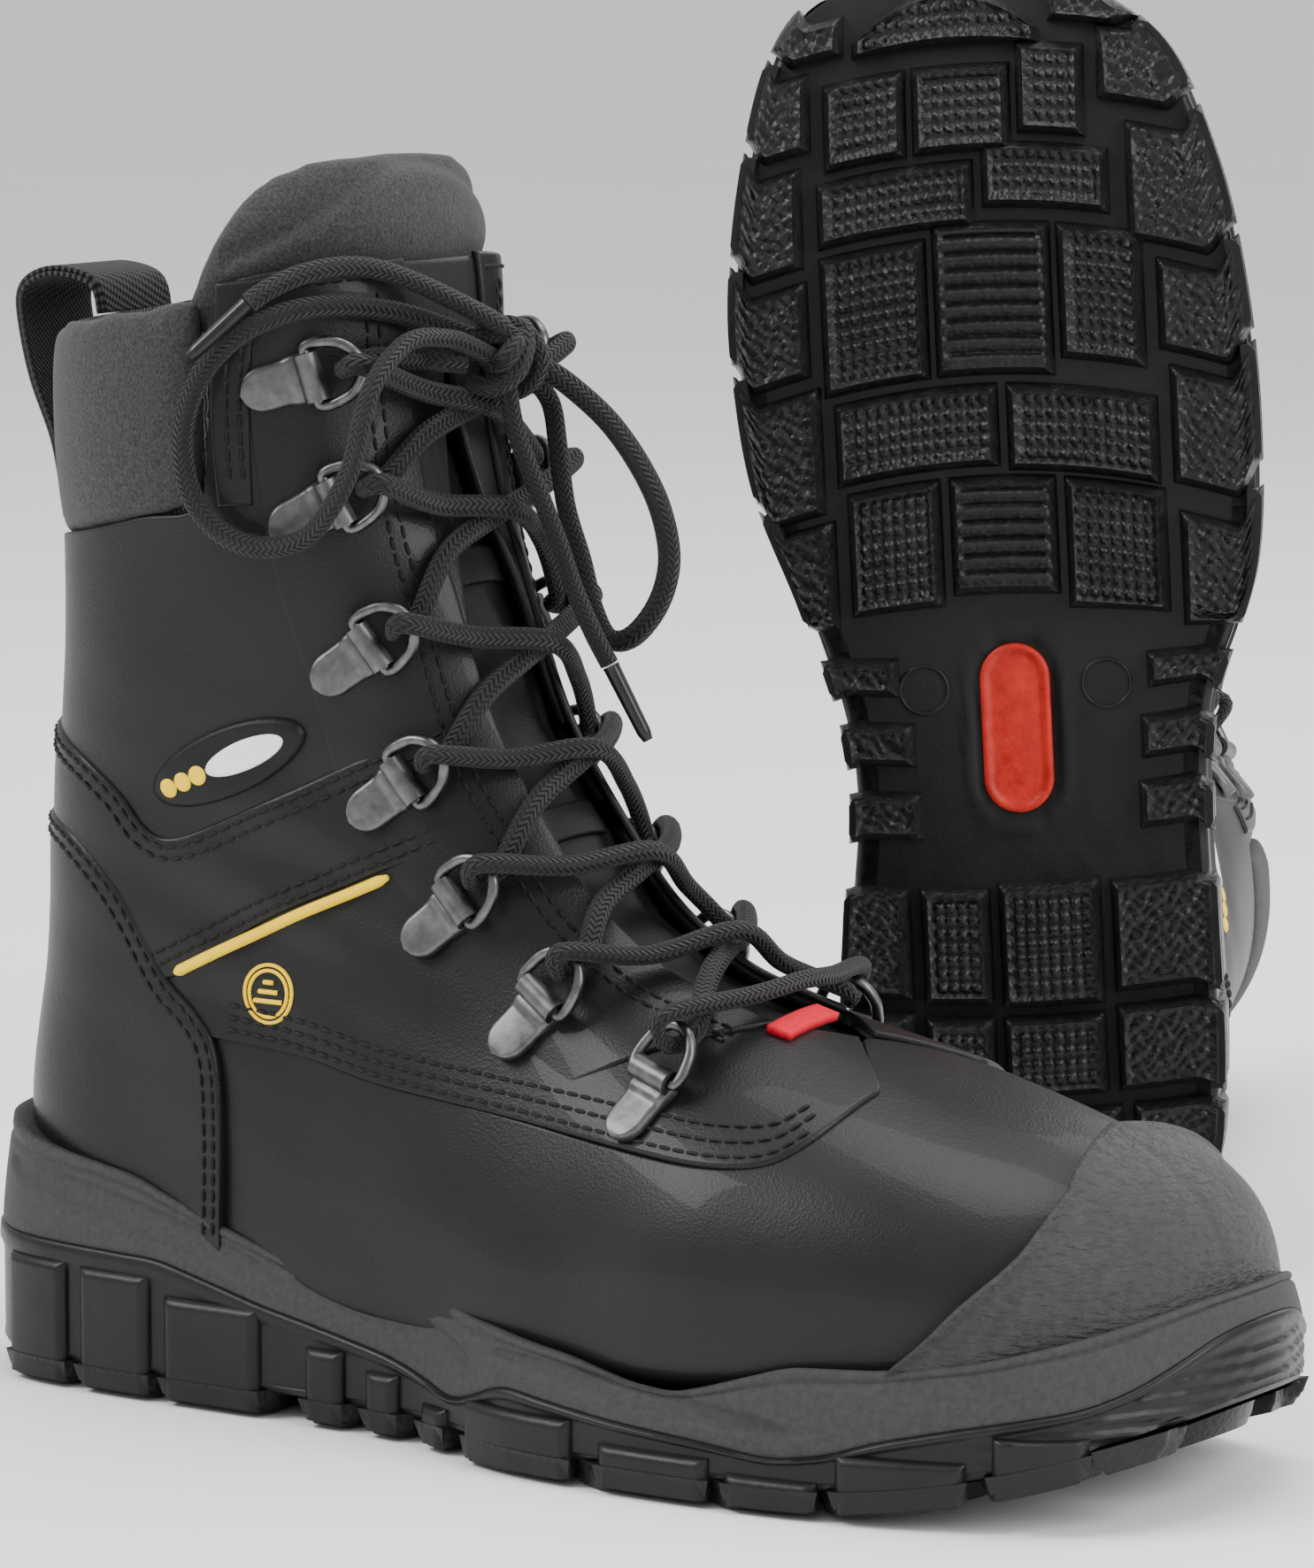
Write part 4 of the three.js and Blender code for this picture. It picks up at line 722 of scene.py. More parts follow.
def upper(boot, nodes):
    vamp_top = both_sides(VAMP_SEAM, ridge=214)
    vamp_foot = both_sides([[72, 27], *SOLE_LINE[3:]], ridge=294.5)
    vamp_top[:, 0] = np.minimum(vamp_top[:, 0] + 0.12, LAST_SECTION)
    finish_piece(boot, f"{boot.word}_vamp", patch(vamp_top, vamp_foot, top=-0.1), LEATHER,
                 nodes("vamp"))
    for side, word in ((-1, "outer"), (1, "inner")):
        foot = rail([[66, 79], *VAMP_SEAM[1:]], side)
        foot = np.concatenate([foot, [[THROAT_SECTION - 0.9, side * 0.02]]])
        head = rail([[50, 92], [66, 99], [89, 110], [117, 123], [131, 127]], side)
        throat = throat_rail(ARC_THROAT + 1.5, 13.4, THROAT_SECTION, side, 60)
        head = np.concatenate([head, throat])
        quarter = patch(foot, resample(head, 120), top=0.9, radius=1.0)
        finish_piece(boot, f"{boot.word}_quarter_{word}", quarter, LEATHER, nodes(f"quarter_{word}"))
    # The band goes round the back from one throat edge to the other.
    band_top = both_sides(UPPER_SEAM[:-1], back=148)
    band_foot = both_sides([[24, 118], [40, 113], *LOWER_SEAM], back=121)
    finish_piece(boot, f"{boot.word}_side_band", patch(band_foot, band_top, top=1.5, radius=1.0), LEATHER,
                 nodes("side_band_outer", "side_band_inner"))
    shaft_foot = both_sides([[24, 138], [42, 131], [60, 119], [89, 125], [108, 134], [131, 144]], back=143)
    shaft_edge = [[24, 181.5], [46, 185], [64, 189], [80, 193], [82, 215], [84, 237.5], [110, 242.5]]
    shaft_top = both_sides(shaft_edge, back=178)
    finish_piece(boot, f"{boot.word}_shaft", patch(shaft_foot, shaft_top, top=0.6), LEATHER,
                 nodes("shaft_panel_outer", "shaft_panel_inner"))
    counter_top = both_sides(COUNTER_EDGE, back=125.5)
    counter_foot = both_sides([[13, 40], [14, 28], [40, 26], [79.5, 26]], back=48)
    finish_piece(boot, f"{boot.word}_heel_counter", patch(counter_top, counter_foot, top=2.1, radius=1.1),
                 LEATHER, nodes("heel_counter"))
    for side, word in ((-1, "outer"), (1, "inner")):
        near = throat_rail(ARC_THROAT, THROAT_SECTION - 0.1, 19.12, side)
        far = throat_rail(ARC_EYESTAY, THROAT_SECTION + 1.4, 19.06, side)
        facing = patch(near, far, step=1.7, thick=-0.2,
                       top=lambda u, v: EYESTAY_TOP - 1.2 * smooth_step(0.55, 1, v))
        finish_piece(boot, f"{boot.word}_facing_{word}", facing, LEATHER,
                     nodes(f"eyestay_{word}"))
    # Reinforcement at the top of the front edge.
    for side, word in ((-1, "outer"), (1, "inner")):
        low = rail([[83, 192], [82, 215], [83.5, 238.5]], side)
        high = rail([[90, 192.5], [90, 216], [92, 239.5]], side)
        finish_piece(boot, f"{boot.word}_front_strip_{word}", patch(low, high, top=1.5), LEATHER)
    threads = Mesh()
    stitch_line(threads, VAMP_SEAM[:-1], (1.8, 4.4, 7.0), 1.0)
    stitch_line(threads, [p for p in COUNTER_EDGE if p[1] > 34], (-1.8, -4.4), 2.15)
    stitch_line(threads, UPPER_SEAM[:-1], (-1.8, -4.4), 1.6)
    stitch_line(threads, LOWER_SEAM[:-1], (1.8, 4.4), 1.6)
    stitch_line(threads, [[86, 196], [85.5, 215], [87, 236]], (0, -2.6), 1.6)
    stitch_line(threads, [[88, 236.5], [98, 238], [108, 239.5]], (0,), 1.9)
    for side in (-1, 1):
        for arc in (ARC_THROAT + 8, ARC_THROAT + 10.8):
            line = throat_rail(arc, THROAT_SECTION + 0.1, 18.9, side, 200)
            spots = skin(line[:, 0], line[:, 1], np.full(200, EYESTAY_TOP))
            stitches(threads, spots, sample(NORMALS, line[:, 0], line[:, 1]))
    finish_piece(boot, f"{boot.word}_stitching", threads, THREAD)


def toe_guard(boot, nodes):
    edge = both_sides([[249, 30], [256, 36.5], [262, 43], [271, 52.5], [274, 62]], ridge=267)
    foot = both_sides([[252, 27], [262, 27], [275, 28.5], [286, 33], [291.5, 36]], ridge=296)

    def lip(u, v):
        border = 0.9 * smooth_step(0.10, 0.05, v) + 0.5 * smooth_step(0.90, 0.95, v)
        parting = -0.35 * np.exp(-((u - 0.5) / 0.006) ** 2)
        return 4.0 + border + parting
    guard = patch(edge, foot, step=1.1, thick=-0.4, top=lip, radius=1.6, soft=False)
    finish_piece(boot, f"{boot.word}_toe_guard", guard, GUARD_FOAM, nodes("toe_guard"))


# ---------- sole ----------
OUTLINE = [
    (305.5, 11), (302, 28), (294, 43), (281, 51), (257, 57), (231, 60.5), (210, 60.3), (185, 57),
    (159, 48), (134, 40.5), (112, 38.3), (85, 41), (50, 43.6), (25, 40.5), (11, 29), (5.8, 14), (5, 0),
    (5.8, -14), (11, -29), (25, -40.5), (50, -43.6), (85, -43.5), (112, -43.4), (134, -45.6), (150, -51.5),
    (165, -56), (185, -57.7), (210, -57.5), (235, -55), (257, -50.5), (281, -41.3), (294, -27.3), (303, -8),
]
MIDSOLE_TOP = np.array([
    (0, 57), (24, 52), (56, 47), (81, 38), (100, 32.5), (110, 32.3), (125, 35), (146, 29), (177, 25.5),
    (192, 22), (203, 21), (211, 23), (230, 29), (250, 30), (270, 33), (290, 38), (306, 44)])
CUP_TOP = np.array([
    (0, 32), (65, 30.5), (93, 23.5), (111, 20), (127, 17), (145, 11.5), (152, 13.6), (162, 17.8), (189, 14.6),
    (210, 13), (228, 11), (240, 13), (250, 16.5), (265, 20), (290, 25), (298, 30), (306, 40)])
PLATE_BOTTOM = 5
SPRING_FROM, SPRING = 225, 0.0026
RING_STEPS = 420


def spring(x):
    return SPRING * np.maximum(x - SPRING_FROM, 0) ** 2


EDGE_RING = spline(OUTLINE, RING_STEPS, closed=True)
_tangent = np.roll(EDGE_RING, -1, axis=0) - np.roll(EDGE_RING, 1, axis=0)
_tangent /= np.linalg.norm(_tangent, axis=1, keepdims=True)
EDGE_IN = np.stack([-_tangent[:, 1], _tangent[:, 0]], axis=1)
EDGE_X = EDGE_RING[:, 0]


def soft_line(line, x, reach=4.0):
    """Height on a line of corner points, with the corners rounded."""
    shifts = np.linspace(-reach, reach, 9)
    return np.mean([np.interp(x + s, line[:, 0], line[:, 1]) for s in shifts], axis=0)


def outline_y(x, side):
    half = EDGE_RING[(EDGE_RING[:, 1] * side > 0)]
    half = half[np.argsort(half[:, 0])]
    return np.interp(x, half[:, 0], half[:, 1])


def sole_ring(inset, height):
    spot = EDGE_RING + EDGE_IN * np.broadcast_to(inset, EDGE_X.shape)[:, None]
    return np.column_stack([spot, np.broadcast_to(height, EDGE_X.shape)])


WAVE_PANELS = [(18, 92, 30, 47), (100, 150, 20, 31), (158, 232, 16, 24.5)]  # from x, to x, from z, to z


def midsole(boot, nodes):
    low, high = soft_line(CUP_TOP, EDGE_X) + 0.2, soft_line(MIDSOLE_TOP, EDGE_X, 3)
    rows = [sole_ring(3.2, low - 3), sole_ring(1.5, low - 0.6), sole_ring(0.9, low)]
    for s in np.linspace(0.03, 1, 30):
        height = low + (high - low) * s
        lean = 0.7 + 2.6 * s**1.4
        groove = 0.7 * np.exp(-((s - 0.86) / 0.035) ** 2)
        panel = 0 * height
        for x0, x1, z0, z1 in WAVE_PANELS:
            u = (EDGE_X - x0) / (x1 - x0)
            slope = (z1 - z0) * (0.5 - u) * 0.9
            middle, half = (z0 + z1) / 2 + slope, (z1 - z0) * 0.22 * np.sin(math.pi * np.clip(u, 0, 1)) ** 0.5
            sunk = smooth_step(1.2, -0.6, np.abs(height - middle) - half)
            panel = np.maximum(panel, sunk * (u > 0) * (u < 1))
        rows.append(sole_ring(lean + groove + 1.1 * panel, height))
    rows += [sole_ring(inset, high + rise) for inset, rise in ((4, 0.35), (5.2, 0.2), (8, -0.8), (12, -3))]
    points = np.array(rows)
    mesh = Mesh().add(points, grid_faces(len(rows), RING_STEPS, close_v=True)[:, ::-1])
    inner = np.array([sole_ring(12, high - 3), sole_ring(12, low - 3), sole_ring(3.2, low - 3)])
    mesh.add(inner, grid_faces(3, RING_STEPS, close_v=True)[:, ::-1])
    finish_piece(boot, f"{boot.word}_midsole", mesh, MIDSOLE_FOAM, nodes("midsole"))


def cup(boot, nodes):
    """The rubber cup: a plate under the foot and a wall around it with a lip."""
    top = soft_line(CUP_TOP, EDGE_X)
    floor = PLATE_BOTTOM + spring(EDGE_X)
    rows = [sole_ring(inset, floor + rise) for inset, rise in ((6, 0), (2.6, 0), (1.4, 0.5), (0.7, 1.8))]
    for s in np.linspace(0.12, 0.93, 16):
        z = floor + (top - floor) * s
        toe = smooth_step(268, 280, EDGE_X) * 0.55 * (np.sin(z * TAU / 3.1) > 0.2) * (z < top - 3)
        lip = 0.9 * smooth_step(0.80, 0.86, s)
        rows.append(sole_ring(0.9 - lip - toe, z))
    rows += [sole_ring(inset, top + rise) for inset, rise in ((0.15, -0.5), (0.7, 0.1), (2, 0), (3.2, -1))]
    rows += [sole_ring(3.2, floor + 4)]
    mesh = Mesh().add(np.array(rows), grid_faces(len(rows), RING_STEPS, close_v=True)[:, ::-1])
    x = 11 + (299.5 - 11) * (1 - np.cos(np.linspace(0, math.pi, 160))) / 2
    v = np.linspace(0, 1, 60)
    for height, turn in ((PLATE_BOTTOM, 1), (PLATE_BOTTOM + 4, -1)):
        near, far = outline_y(x, -1) + 2.5, outline_y(x, 1) - 2.5
        y = near[:, None] * (1 - v) + far[:, None] * v
        points = np.stack([x[:, None] + 0 * y, y, height + spring(x)[:, None] + 0 * y], axis=-1)
        # The plate's ridge pattern round the waist.
        if turn > 0:
            pill = np.hypot(np.maximum(np.abs(points[..., 0] - 128.5) - 11.5, 0), points[..., 1])
            points[..., 2] += 0.7 * smooth_step(11.6, 10.8, pill) - 1.2 * np.exp(-((pill - 10.6) / 0.8) ** 2)
        mesh.add(points, grid_faces(len(x), len(v))[:, ::-turn])
    finish_piece(boot, f"{boot.word}_outsole", mesh, OUTSOLE_RUBBER, nodes("outsole"),
                 sharp=55)


MIDDLE_LUGS = [
    (260, 279, 20, 38), (260, 279, -4, 17.5), (264, 284, -21, -6.5), (243, 257, 5, 40), (247, 261, -26, 2),
    (209, 240, 16.5, 40), (209, 243, -12, 14), (213, 243, -33, -14.5), (188, 206, 1.5, 38),
    (187, 206, -35, -1.5), (157, 185, 15.5, 36), (159, 185, -11, 12.5), (156, 185, -36, -14),
    (66, 92, 8.5, 23.5), (65, 93, -17, 5.5), (44, 62, 8.5, 23.5), (44, 62, -17, 5.5), (22, 40, 4, 22),
    (22, 40, -20, 1),
]
SIDE_LUGS = [
    (286, 294, 34), (266, 283, 42), (240, 262, 44.5), (215, 236, 44), (183, 211, 42), (154, 180, 40),
    (137, 145, 27), (121, 130, 24), (104, 114, 23), (67, 92, 27), (44, 63, 27), (22, 40, 25.5),
    (290, 298, -14), (273, 289, -25), (242, 268, -31), (218, 238, -37), (188, 214, -39), (151, 181, -40),
    (136, 144, -31), (120, 129, -29), (104, 114, -28), (67, 92, -20.5), (44, 63, -20.5), (22, 40, -23.5),
]
RIBBED_LUGS = {(209, 243, -12, 14), (159, 185, -11, 12.5)}  # with cross ribs in place of pyramids
SIDE_LUG_DROP, SIDE_LUG_PROUD = 4, 1.0
WALL_ROOT = 2.4  # depth of a side lug's wall inside the cup


def bow(x, y):
    """The cross grooves of the tread curve towards the toe at the middle of the foot."""
    curve = np.where(x > 150, 0.0030, -0.0014) * ((y - 4) ** 2 - 420)
    return -curve * smooth_step(0, 12, np.abs(x - 150))


def lug_top(x, y, u, v, width, length, kind):
    """Depth of the tread over a lug: bevelled edges, and rows of small pyramids or crinkles."""
    rim = np.minimum(np.minimum(u, 1 - u) * length, np.minimum(v, 1 - v) * width)
    bevel = 2.2 * smooth_step(1.6, 0, rim)
    inside = smooth_step(1.4, 2.4, rim)
    if kind == "ribbed":
        return bevel + inside * 1.3 * (0.5 + 0.5 * np.sin(u * length * TAU / 3.8)) ** 2
    if kind == "pyramids":
        a, b = np.abs(np.sin(x * math.pi / 3.1)), np.abs(np.sin(y * math.pi / 2.6))
        return bevel + inside * (0.2 + 1.2 * (1 - smooth_step(0.35, 0.95, a) * smooth_step(0.35, 0.95, b)))
    crinkle = np.sin(x * 1.9 + 1.3 * np.sin(y * 1.1)) * np.sin(y * 1.7 + 1.1 * np.sin(x * 0.9))
    return bevel + inside * (0.7 + 0.6 * crinkle)


def lug(mesh, corner, kind, climb=0):
    """corner(u, v) gives (x, y) on the lug; climb, when set, fades the bow of the cross grooves out towards v
    = 1.
    """
    length = math.dist(corner(0, 0.5), corner(1, 0.5))
    width = math.dist(corner(0.5, 0), corner(0.5, 1))
    nu, nv = (max(int(size / 0.62), 5) for size in (length, width))
    u, v = np.meshgrid(np.linspace(0, 1, nu), np.linspace(0, 1, nv), indexing="ij")
    x, y = corner(u, v)
    depth = lug_top(x, y, u, v, width, length, kind)
    x = x + bow(x, y) * (1 - smooth_step(0.7, 1, v) if climb else 1)
    top = np.stack([x, y, spring(x) + depth], axis=-1)
    root = top.copy()
    middle = root.mean(axis=(0, 1))
    root[..., :2] = middle[:2] + (root[..., :2] - middle[:2]) * np.array([1 + 1.6 / length, 1 + 1.6 / width])
    root[..., 2] = spring(x) + PLATE_BOTTOM + 0.6
    mesh.add_slab(top, root, flip=True)


def side_wall(mesh, x0, x1, side):
    """The face of a side lug on the cup's wall."""
    xs = np.linspace(x0, x1, max(int((x1 - x0) / 0.8), 5))
    middle = (x0 + x1) / 2
    head = soft_line(CUP_TOP, np.array([middle]))[0] - SIDE_LUG_DROP
    zs = np.linspace(0, 1, max(int(head / 0.8), 6))
    y = outline_y(xs, side)
    dx, dy = np.gradient(xs), np.gradient(y)
    out = np.stack([dy, -dx], axis=1) * -side
    out /= np.linalg.norm(out, axis=1, keepdims=True)
    u, v = np.meshgrid(np.linspace(0, 1, len(xs)), zs, indexing="ij")
    z = spring(xs)[:, None] + 1.2 + (head - spring(xs)[:, None] - 1.2) * v
    rim = np.minimum(np.minimum(u, 1 - u) * (x1 - x0), np.minimum(v + 0.3, 1 - v) * head)
    proud = SIDE_LUG_PROUD - 1.4 * smooth_step(1.5, 0, rim)
    face = np.stack([xs[:, None] + out[:, :1] * proud, y[:, None] + out[:, 1:] * proud, z], axis=-1)
    behind = np.column_stack([xs, y]) - out * WALL_ROOT
    root = np.stack([behind[:, :1] + 0 * z, behind[:, 1:] + 0 * z, z], axis=-1)
    mesh.add_slab(face, root, flip=side > 0)


def tread(boot):
    middle, rim, walls = Mesh(), Mesh(), Mesh()
    for x0, x1, y0, y1 in MIDDLE_LUGS:
        kind = "ribbed" if (x0, x1, y0, y1) in RIBBED_LUGS else "pyramids"
        lug(middle, lambda u, v: (x0 + (x1 - x0) * u, y0 + (y1 - y0) * v), kind)
    lug(middle, lambda u, v: (283 + (12 - 9 * (2 * v - 1) ** 2) * u + 1.5, 10 + (2 * v - 1) * 21), "pyramids")
    for x0, x1, inner in SIDE_LUGS:
        side = math.copysign(1, inner)

        def corner(u, v):
            x = x0 + (x1 - x0) * u
            return x, inner + (outline_y(x, side) + side * 0.4 - inner) * v
        lug(rim, corner, "crinkled", climb=1)
        if x1 < 290:
            side_wall(walls, x0, x1, side)

    def heel(u, v):
        y = (2 * v - 1) * 27
        return 18 - (18 - 5.5 - 13 * np.abs(2 * v - 1) ** 2.6) * u, y * (1 - 0.06 * (1 - u))
    lug(rim, lambda u, v: heel(1 - u, v), "crinkled", climb=1)
    finish_piece(boot, f"{boot.word}_tread", middle, LUG_RUBBER, sharp=50)
    finish_piece(boot, f"{boot.word}_rim_lugs", rim, LUG_RUBBER, sharp=50)
    finish_piece(boot, f"{boot.word}_rim_walls", walls, OUTSOLE_RUBBER, sharp=50)


def sole_details(boot, nodes):
    """The red inlay with its raised rim, and two plain rings at the waist."""
    rows = []
    around = np.linspace(0, TAU, 96, endpoint=False)
    profile = (0, 6), (0, 4.3), (0.4, 3.9), (1.3, 3.8), (1.8, 4.5), (3, 4.6), (5, 4.4), (7, 4.3), (8, 4.3)
    for inset, z in profile:
        radius = 8 - inset
        c, s = np.cos(around), np.sin(around)
        rows.append(np.stack([128.5 + np.sign(c) * 11.5 + radius * c, radius * s, z + 0 * c], axis=1))
    mesh = Mesh().add(np.array(rows), grid_faces(len(rows), 96, close_v=True))
    finish_piece(boot, f"{boot.word}_inlay", mesh, RED_RUBBER, nodes("sole_inlay"))
    marks = Mesh()
    turn = np.linspace(0, TAU, 49)
    for y in (-21, 21):
        tube(marks, np.stack([138 + 5.5 * np.cos(turn), y + 5.5 * np.sin(turn), 4.9 + 0 * turn], axis=1), 0.5,
             sides=6, ends=False)
    finish_piece(boot, f"{boot.word}_sole_rings", marks, OUTSOLE_RUBBER)


# ---------- clips and rings ----------
CLIP_PLACES = [[186, 75], [153, 88], [130, 107], [115, 132], [107, 160], [100, 191], [96, 218]]
CLIP_LENGTH, CLIP_HALF = 13, 5.3
WIRE, RING_HALF, RING_REACH = 1.25, 6.5, 11
RING_LIFT = math.radians(16)
ROLL = 2.7
HINGE_RISE = EYESTAY_TOP + ROLL


def clip_frame(place, side):
    """Axes of a clip: x to the throat, y along the throat, z out of the leather, zero at the hinge."""
    t, q = on_side(*place, side)
    out = sample(NORMALS, t, q)
    inward = sample(LAST, t, q - 0.02 * side) - sample(LAST, t, q + 0.02 * side)
    inward /= np.linalg.norm(inward)
    matrix = np.stack([inward, np.cross(out, inward), out], axis=1)
    return matrix, sample(LAST, t, q) + inward * (CLIP_LENGTH / 2 - 1) + out * HINGE_RISE


def clip(mesh, matrix, place):
    """A stamped plate with a round end and a step, and the roll that holds the ring."""
    u = np.linspace(0, 1, 26)
    v = np.linspace(-1, 1, 17)
    x = -CLIP_LENGTH - CLIP_HALF * 0.4 + (CLIP_LENGTH + CLIP_HALF * 0.4) * u
    end = np.clip((x - x[0]) / CLIP_HALF, 0, 1)
    half = CLIP_HALF * (0.9 + 0.1 * smooth_step(-7, -2, x)) * np.sqrt(np.clip(1 - (1 - end) ** 2, 0.004, 1))
    y = half[:, None] * v
    dome = 0.55 * (1 - (y / CLIP_HALF) ** 2) * smooth_step(0, 3, x - x[0])[:, None]
    stamped = 0.75 * smooth_step(-5.2, -3.6, x)[:, None]
    rim = np.minimum(half[:, None] - np.abs(y), (x - x[0])[:, None] + 0.1)
    top = -ROLL + 1.3 + dome * 0.6 + stamped - rounded(np.maximum(rim, 0), 0.7)
    points = np.stack([x[:, None] + 0 * y, y, top], axis=-1)
    low = points.copy()
    low[..., 2] = -ROLL - 0.6
    mesh.add_slab(points @ matrix.T + place, low @ matrix.T + place)
    angle = np.linspace(-0.5 * math.pi, 1.25 * math.pi, 26)
    width = np.linspace(-CLIP_HALF * 0.96, CLIP_HALF * 0.96, 7)
    shells = []
    for radius in (ROLL - 0.05, ROLL - 1.15):
        a, w = np.meshgrid(angle, width, indexing="ij")
        shells.append(np.stack([radius * np.cos(a), w, radius * np.sin(a)], axis=-1) @ matrix.T + place)
    mesh.add_slab(*shells, flip=True)


def ring_wire(matrix, place):
    """A D-shaped ring: a straight bar in the roll and a round bow."""
    half, reach = RING_HALF, RING_REACH
    corners = [(0, -half + 1), (0, 0), (0, half - 1), (0.9, half), (0.3 * reach, half + 0.1),
               (0.68 * reach, 0.84 * half), (0.94 * reach, 0.42 * half), (1.0 * reach, 0),
               (0.94 * reach, -0.42 * half), (0.68 * reach, -0.84 * half), (0.3 * reach, -half - 0.1),
               (0.9, -half)]
    flat = spline(corners, 64, closed=True)
    flat = np.vstack([flat, flat[:1]])
    lift = np.stack([flat[:, 0] * math.cos(RING_LIFT), flat[:, 1], flat[:, 0] * math.sin(RING_LIFT)], axis=1)
    way = np.gradient(lift, axis=0)
    way[[0, -1]] = lift[1] - lift[-2]
    way /= np.linalg.norm(way, axis=1, keepdims=True)
    normal = np.array([-math.sin(RING_LIFT), 0, math.cos(RING_LIFT)])
    side = np.cross(way, normal)
    angle = np.linspace(0, TAU, 13)
    ring = side[:, None] * np.cos(angle)[None, :, None] + normal * np.sin(angle)[None, :, None]
    points = (lift[:, None] + WIRE * ring)[:-1].reshape(-1, 3)
    return Mesh().add(points @ matrix.T + place, grid_faces(64, 13, close_u=True))


def hardware(boot):
    for side, word in ((-1, "outer"), (1, "inner")):
        clips = Mesh()
        loose = Mesh()
        for i, spot in enumerate(CLIP_PLACES):
            matrix, place = clip_frame(spot, side)
            clip(clips, matrix, place)
            wire = ring_wire(matrix, place)
            if boot is RIGHT:
                finish_piece(boot, f"right_ring_{word}_{i + 1}", wire, STEEL_DARK,
                             [f"lacing_ring_{word}_{i + 1}"], body=f"ring_{word}_{i + 1}")
            else:
                loose.add(wire.points[0], wire.faces[0])
        finish_piece(boot, f"{boot.word}_clips_{word}", clips, STEEL, sharp=50)
        if boot is LEFT:
            finish_piece(boot, f"left_rings_{word}", loose, STEEL_DARK)


# ---------- laces: the routes are those of the CAD ----------
LACE_WIDTH = 4.8
AT_RINGS = [
    [[191, 36.5, 94.5], [189.5, 37, 89.5], [190.5, 32.5, 87.5], [192.5, 28.5, 90.5]],
    [[163.5, 34, 104.5], [161, 32.5, 100], [160.5, 28, 99], [163.5, 25.5, 102.5]],
    [[143.5, 34.5, 121], [139.5, 33, 117], [139.5, 28, 116.5], [143, 26.5, 119.5]],
    [[130.5, 33, 142.5], [126.5, 31.5, 140], [126, 27, 140], [129.5, 25, 143]],
    [[124.5, 34.5, 169.5], [119.5, 32, 167], [118, 27.5, 167.5], [121.5, 25, 170.5]],
    [[119.5, 35, 198], [114, 34, 196.5], [111.5, 29.5, 197], [115, 26.5, 199]],
    [[116, 37, 222.5], [110.5, 36.5, 221], [108.5, 32, 221.5], [112, 29, 223]],
]
BETWEEN_RINGS = [
    [[186, 14.5, 97.5], [181.5, 1.5, 101.5], [183.5, 1.5, 106], [174, 18, 102.5]],
    [[161, 16, 111.5], [160, 0.5, 117], [163, 0.5, 121], [154.5, 18.5, 119.5]],
    [[145, 17, 131.5], [144.5, 0, 138.5], [148.5, 0, 141.5], [139, 17.5, 140.5]],
    [[132.5, 17, 153.5], [133, 0, 161], [138, 0, 163], [129.5, 18, 165.5]],
    [[123, 17, 182.5], [122.5, 0, 188.5], [127.5, 0, 190.5], [121, 17.5, 192.5]],
    [[116.5, 16, 206.5], [116.5, 0, 211], [121.5, 0, 212], [117, 17, 216]],
]
LACE_START, LACE_BESIDE = [199, 1.5, 97], [197.5, 15, 96]
OUTER_END = [[115, -17, 222.5], [119, -13.5, 222], [122, -9, 221.5]]
INNER_END = [[115, 17, 222.5], [120, 13.5, 221.5]]
OUTER_LOOP = [
    [121, -3, 225.5], [113, -20, 232], [105, -38, 234], [95, -47, 230], [86, -50, 222], [81, -51, 212],
    [80, -51, 203], [82, -50, 194], [88, -48, 187], [97, -46, 184.5], [107, -45, 187], [114, -45, 194],
    [118, -44, 202], [120, -43, 211], [121, -39, 220], [122, -29, 227], [123, -17, 227], [124, -10, 225]]
INNER_LOOP = [
    [131, 8, 219], [136, 11, 215], [143, 14, 208], [150, 15, 199], [155, 15, 190], [157, 15, 180],
    [155, 14, 171], [150, 12, 164], [144, 12, 163], [140, 12, 169], [137, 12, 179], [133, 12, 190],
    [131, 12, 202], [129, 12, 212]]
OUTER_TAIL = [
    [127, -2.5, 228.5], [120, -12, 235], [113, -21, 240], [108, -29, 242], [103, -38, 241], [98, -44, 238],
    [95, -47.5, 235]]
OUTER_TIP = [[94.7, -47.9, 234.7], [86, -56, 224]]
INNER_TAIL = [
    [128, -2, 215.3], [131, -3, 206], [136, -2, 194], [140, -1, 184], [143, 0, 175], [147, 1, 166],
    [150, 3, 159]]
INNER_TIP = [[150.2, 3.2, 158.6], [157, 7, 143]]
KNOT = (125, 3, 221)


def lace_strand(start_side):
    side = start_side
    route = [[LACE_BESIDE[0], LACE_BESIDE[1] * side, LACE_BESIDE[2]]]
    for i, places in enumerate(AT_RINGS):
        route += [[x, y * side, z] for x, y, z in places]
        if i < len(BETWEEN_RINGS):
            leaving, below, above, arriving = BETWEEN_RINGS[i]
            over = (i % 2 == 0) == (start_side > 0)
            route += [[x, y * side, z] for x, y, z in (leaving, above if over else below)]
            side = -side
            route.append([arriving[0], arriving[1] * side, arriving[2]])
    return route + (INNER_END if side > 0 else OUTER_END)


def lace_piece(boot, name, points, nodes):
    """A braided lace along a smooth curve through the points."""
    length = sum(math.dist(a, b) for a, b in zip(points, points[1:]))
    path = spline(points, max(int(length / 1.1), 24))
    # The lace is squeezed where it turns through a ring.
    turns = np.array([[x, y * side, z] for places in AT_RINGS for x, y, z in places[1:3] for side in (-1, 1)])
    away = np.linalg.norm(path[:, None] - turns[None], axis=2).min(axis=1)
    mesh = tube(Mesh(), path, LACE_WIDTH / 2, sides=14, flat=0.82,
                taper=1 - 0.24 * np.exp(-((away / 4) ** 2)))
    piece = finish_piece(boot, f"{boot.word}_{name}", mesh, BRAID, nodes)
    placed = boot.place(path)
    return piece


